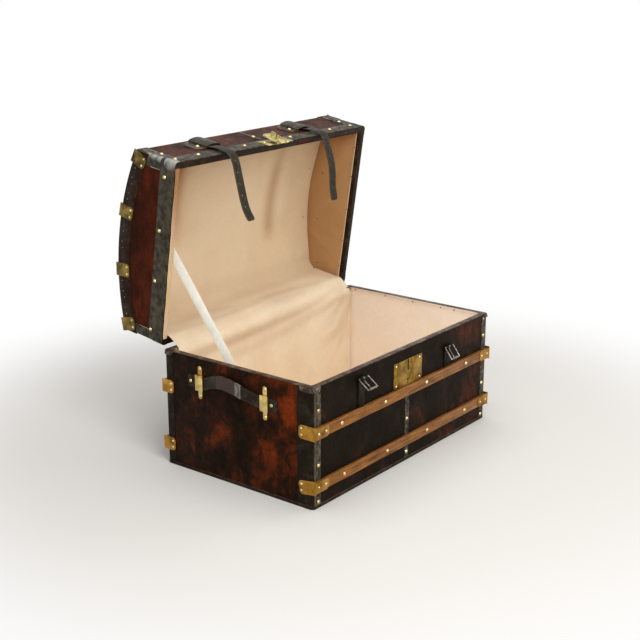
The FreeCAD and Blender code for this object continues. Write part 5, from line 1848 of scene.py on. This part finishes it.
        def spot(i: int, j: int) -> tuple[Vector, Pair, float]:
            """Loosely glued in the middle, held at its edges, darker along them.

            Args:
                i: number of the row.
                j: number of the column.

            Returns:
                The place, the flat place and the grime.
            """
            up, out = rows[i]
            along = length * j / (columns - 1)
            ends = min(along, length - along)
            hump = 0.5 * math.sin(along / 37 + up / 53) + 0.3 * math.sin(along / 17 - up / 29)
            lift = (hump + 0.7) * min(1.0, ends / 25, up / 20) * eased((height - up) / 22)
            at = Vector(start) + run * (along / length) + Z * up + inward * (out + 0.2 + lift)
            soil = 0.5 * math.exp(-(height - up) / 9) + 0.3 * math.exp(-ends / 7) + 0.25 * math.exp(-up / 14)
            return at * MM, (along * MM, climbed[i] * MM), soil + yellowed * (1 - eased(along / length))

        piece = cut_cloth(name, len(rows), columns, spot)
        finished(piece, "base", "lining", finish)

    def floor(self) -> None:
        """The cloth on the bottom, a little loose."""
        x, y = np.meshgrid(
            np.linspace(-self.half_length, self.half_length, 96), np.linspace(-self.half_depth, self.half_depth, 58)
        )
        edge = np.minimum(self.half_length - np.abs(x), self.half_depth - np.abs(y))
        loose = 0.8 * np.sin(x / 41 + y / 67) + 0.5 * np.sin(x / 19 - y / 31 + 1)
        z = self.floor_height + (loose + 1.2) * np.clip(edge / 30, 0, 1)
        # Darker at its edges, and a little darker in the hollows of its looseness: painted shade there.
        soil = 0.4 * np.exp(-edge / 12) + 0.05 * np.clip(-loose, 0, 1)
        piece = cloth("base_floor_cloth", np.stack([x, y, z], axis=2) * MM, np.stack([x, y], axis=2) * MM, soil)
        finished(piece, "base", "lining", BASE_COTTON, "base_lining")

    def lid_end(self, side: Side) -> None:
        """The cloth inside one end of the lid, turned over at the rim and cut to the dome's curve.

        Args:
            side: which end of the lid.
        """
        rows, columns = 24, 60
        low, reach, radius = 319.4, 227.6, 690.9
        # Its first three rows are the turned edge: height over the rim and how far it stands back.
        edge = ((1.2, 2.8), (0.0, 2.4), (0.0, 0.9))
        depths = np.linspace(-reach, reach, columns)

        def spot(i: int, j: int) -> tuple[Vector, Pair, float]:
            """Two soft drags and a little looseness, glued flat at its edges and darker along them.

            Args:
                i: number of the row.
                j: number of the column.

            Returns:
                The place, the flat place and the grime.
            """
            y = depths[j]
            high = dome_height(y, radius)
            turned = i < len(edge)
            up, out = edge[i] if turned else ((high - low) * (i - 2) / rows, 0.0)
            z = low + up
            ends = min(reach - abs(y), high - z)
            lift = 0.7 * math.sin(y / 43 + z / 23) + 0.5 * math.sin(y / 15 - z / 61)
            lift += 1.6 * math.exp(-(((y - 150 + (z - 380) * 0.4) / 9) ** 2))
            lift += 1.2 * math.exp(-(((y - 95 + (z - 380) * 0.2) / 8) ** 2))
            held = eased((z - 335) / 25) if side is Side.RIGHT else eased((i - 2) / rows * 6)
            lift = 0.0 if turned else max(0.0, lift + 0.9) * min(1.0, max(0.0, ends / 20)) * held
            soil = 0.45 * math.exp(-max(0, ends) / 12) + (0.25 if turned else 0.0)
            return in_lid(side.value * (377.5 + out - lift), y, z), (y * MM, (up - out) * MM), soil

        piece = cut_cloth(f"lid_end_cloth_{side.word}", rows + len(edge), columns, spot, side is Side.LEFT)
        finished(piece, "lid", "lining", END_COTTON, *(("lid_lining",) if side is Side.RIGHT else ()))

    def rim_hem(self, side: Side, line: Sequence[Point], reach: Pair, brown: Pair) -> None:
        """The pale folded edge of a lid end cloth.

        Args:
            side: which end of the lid.
            line: its rows, as over_rim and folded_under give them.
            reach: depths that it runs between, in millimetres.
            brown: how dark its inner part is painted, as shade, at the front and at the back, from 0 to 1.
        """
        columns = 70
        depths = np.linspace(*reach, columns)
        climbed = [0.0, *accumulate(math.dist(a[:2], b[:2]) for a, b in zip(line, line[1:]))]

        def spot(i: int, j: int) -> tuple[Vector, Pair, float]:
            """A ragged pale edge on the inner part, which is painted darker as shade; on the left it fades out towards
            the front.

            Args:
                i: number of the row.
                j: number of the column.

            Returns:
                The place, the flat place and the grime.
            """
            (out, z, pale), y = line[i], depths[j]
            ragged = 0.5 * math.sin(y / 23) + 0.35 * math.sin(y / 7.7) if out > 3 else 0.0
            wear_and_painted_light = brown[1] + (brown[0] - brown[1]) * eased((40 - y) / 240)
            shown = pale * (1 - eased((-y - 20) / 160)) if side is Side.LEFT else pale
            place = in_lid(side.value * (377.9 + out + ragged), y, z)
            return place, (y * MM, climbed[i] * MM), wear_and_painted_light * (1 - 0.97 * shown)

        piece = cut_cloth(f"lid_rim_hem_{side.word}", len(line), columns, spot, side is Side.RIGHT)
        finished(piece, "lid", "lining", HEM_COTTON)

    def make(self) -> None:
        """Every cloth of the lining."""
        self.long_cloth()
        # On the left the cloth is turned out over the rim; on the right it is folded under on the turned-in leather.
        self.rim_hem(Side.LEFT, self.over_rim, (-229.5, 229.0), (0.9, 0.15))
        self.rim_hem(Side.RIGHT, self.folded_under, (-226.0, 226.0), (0.66, 0.6))
        self.wall("base_front_cloth", (380, -225, 19.2), X * -760, Y)
        self.wall("base_left_cloth", (-380, -225, 19.2), Y * 450, X)
        self.wall("base_right_cloth", (380, 225, 19.2), Y * -450, -X, RIGHT_COTTON, 0.16)
        self.floor()
        for side in Side:
            self.lid_end(side)


@dataclass
class StayRibbon:
    """The white ribbon that stops the open lid, taut from the left base wall to the left lid wall."""

    x: float = -377.0
    width: float = 30.0
    low: Pair = (24.0, 295.0)
    high: Pair = (-10.0, 329.0)

    def make(self) -> None:
        """A woven band with curled selvedges and nailed ends."""
        start = metres(self.x, *self.low)
        finish = in_lid(self.x, *self.high)
        run = finish - start
        way = run.normalized()
        side = Vector((0, -way.z, way.y))
        rows, columns = 90, 9

        def spot(i: int, j: int) -> tuple[Vector, Pair, float]:
            """Taut along its run, a little waved and with its selvedges curled.

            Args:
                i: number of the row.
                j: number of the column.

            Returns:
                The place, the flat place and the grime.
            """
            t, s = i / (rows - 1), j / (columns - 1) - 0.5
            curl = 1.6 * abs(2 * s) ** 3 * math.sin(math.pi * t) ** 0.6
            wave = 0.8 * math.sin(t * 9 + s * 2) * math.sin(math.pi * t)
            at = start + run * t + side * (s * self.width * MM) + X * ((curl + wave + 0.9) * MM)
            return at, (s * self.width * MM, t * run.length), 0.0

        piece = cut_cloth("stay_ribbon_woven", rows, columns, spot, True)
        modify(piece, "SOLIDIFY", thickness=0.5 * MM, offset=-1.0)
        outwards(piece)
        smoothed(piece, 60)
        nailed = way * 0.012
        bending(piece, ("base", "lid"), (start + nailed, finish - nailed), "ribbon", RIBBON, "stay_ribbon")


# ---- studio ----
@dataclass
class Studio:
    """Pale floor, soft lamps, white surroundings and the camera."""

    azimuth: float = -52.07
    elevation: float = 16.91
    place: Point = (-2643.7, -2014.7, 1354.7)
    lens: float = 72.16
    world_level: float = 0.55
    aim: Point = (0, 60, 420)
    # Name, place, side of the face in metres, and power in watts.
    lamps: tuple[tuple[str, Point, float, float], ...] = (
        ("key_softbox", (-1500, -2300, 2300), 1.8, 66.0),
        ("fill_softbox", (2200, -1500, 1300), 1.8, 16.0),
        ("overhead_softbox", (0, 300, 2700), 2.0, 20.0),
    )

    def make(self) -> None:
        """Everything round the trunk."""
        self.floor()
        self.world()
        for lamp in self.lamps:
            self.lamp(*lamp)
        self.camera()
        bpy.context.scene.view_settings.view_transform = "Standard"

    def floor(self) -> None:
        """A wide round floor just under the trunk."""
        piece = started(
            bpy.ops.mesh.primitive_circle_add, "studio_floor", vertices=96, radius=6.0, fill_type="NGON",
            location=metres(0, 0, -0.3),
        )
        bpy.ops.object.transform_apply(location=True, rotation=True, scale=True)
        piece.data.materials.append(FLOOR.made())

    def world(self) -> None:
        """White where it is seen or mirrored, softer as light."""
        world = bpy.data.worlds.new("studio_surroundings")
        bpy.context.scene.world = world
        world.use_nodes = True
        paint = Paint(world.node_tree)
        soft = paint.add("Background", "#FFFFFF", self.world_level)
        plain = paint.add("Background", "#FFFFFF", 1.0)
        paint.add("OutputWorld", paint.add("MixShader", paint.seen(), soft, plain))

    def lamp(self, name: str, place: Point, size: float, power: float) -> None:
        """A square soft lamp aimed at the middle of the trunk.

        Args:
            name: the lamp's name.
            place: where it hangs, in millimetres.
            size: side of its face, in metres.
            power: its power in watts.
        """
        lamp = bpy.data.lights.new(name, "AREA")
        lamp.size = size
        lamp.energy = power
        holder = bpy.data.objects.new(name, lamp)
        holder.location = metres(*place)
        holder.rotation_mode = "QUATERNION"
        holder.rotation_quaternion = (metres(*self.aim) - holder.location).to_track_quat("-Z", "Y")
        bpy.context.collection.objects.link(holder)

    def camera(self) -> None:
        """The camera at the front left, a little above."""
        az, el = math.radians(self.azimuth), math.radians(self.elevation)
        right = Vector((math.cos(az), math.sin(az), 0))
        back = Vector((math.sin(az) * math.cos(el), -math.cos(az) * math.cos(el), math.sin(el)))
        data = bpy.data.cameras.new("front_left_camera")
        data.sensor_width = 36.0
        data.lens = self.lens
        data.clip_end = 50.0
        holder = bpy.data.objects.new("front_left_camera", data)
        turn = Matrix((right, back.cross(right), back)).transposed().to_4x4()
        holder.matrix_world = Matrix.Translation(metres(*self.place)) @ turn
        bpy.context.collection.objects.link(holder)
        bpy.context.scene.camera = holder


def main() -> None:
    """Builds the trunk piece by piece and reports each."""
    logging.basicConfig(level=logging.INFO, format="%(message)s")
    left_fall = (0, 0), (-15, -5), (-30, -21), (-42, -62), (-57, -121), (-68, -150), (-84, -174)
    right_fall = (0, 0), (-12, -7), (-21.5, -29), (-38, -79), (-42.5, -115), (-43.5, -148), (-50, -188)
    for assembly in (
        StrapKeepers(), Studio(), Carcass(), HideCovering(), Bindings(), SlatsAndClamps(), Fasteners(), LockAndHasp(),
        Hinges(), EndHandle(Side.LEFT), EndHandle(Side.RIGHT), BuckleStrap(Side.LEFT, -207.0, left_fall),
        BuckleStrap(Side.RIGHT, 188.0, right_fall), Lining(), StayRibbon(),
    ):
        before = set(bpy.data.objects.keys())
        assembly.make()
        for name in sorted(set(bpy.data.objects.keys()) - before):
            LOG.info("%s: %s", type(assembly).__name__, name)


if __name__ == "__main__":
    main()
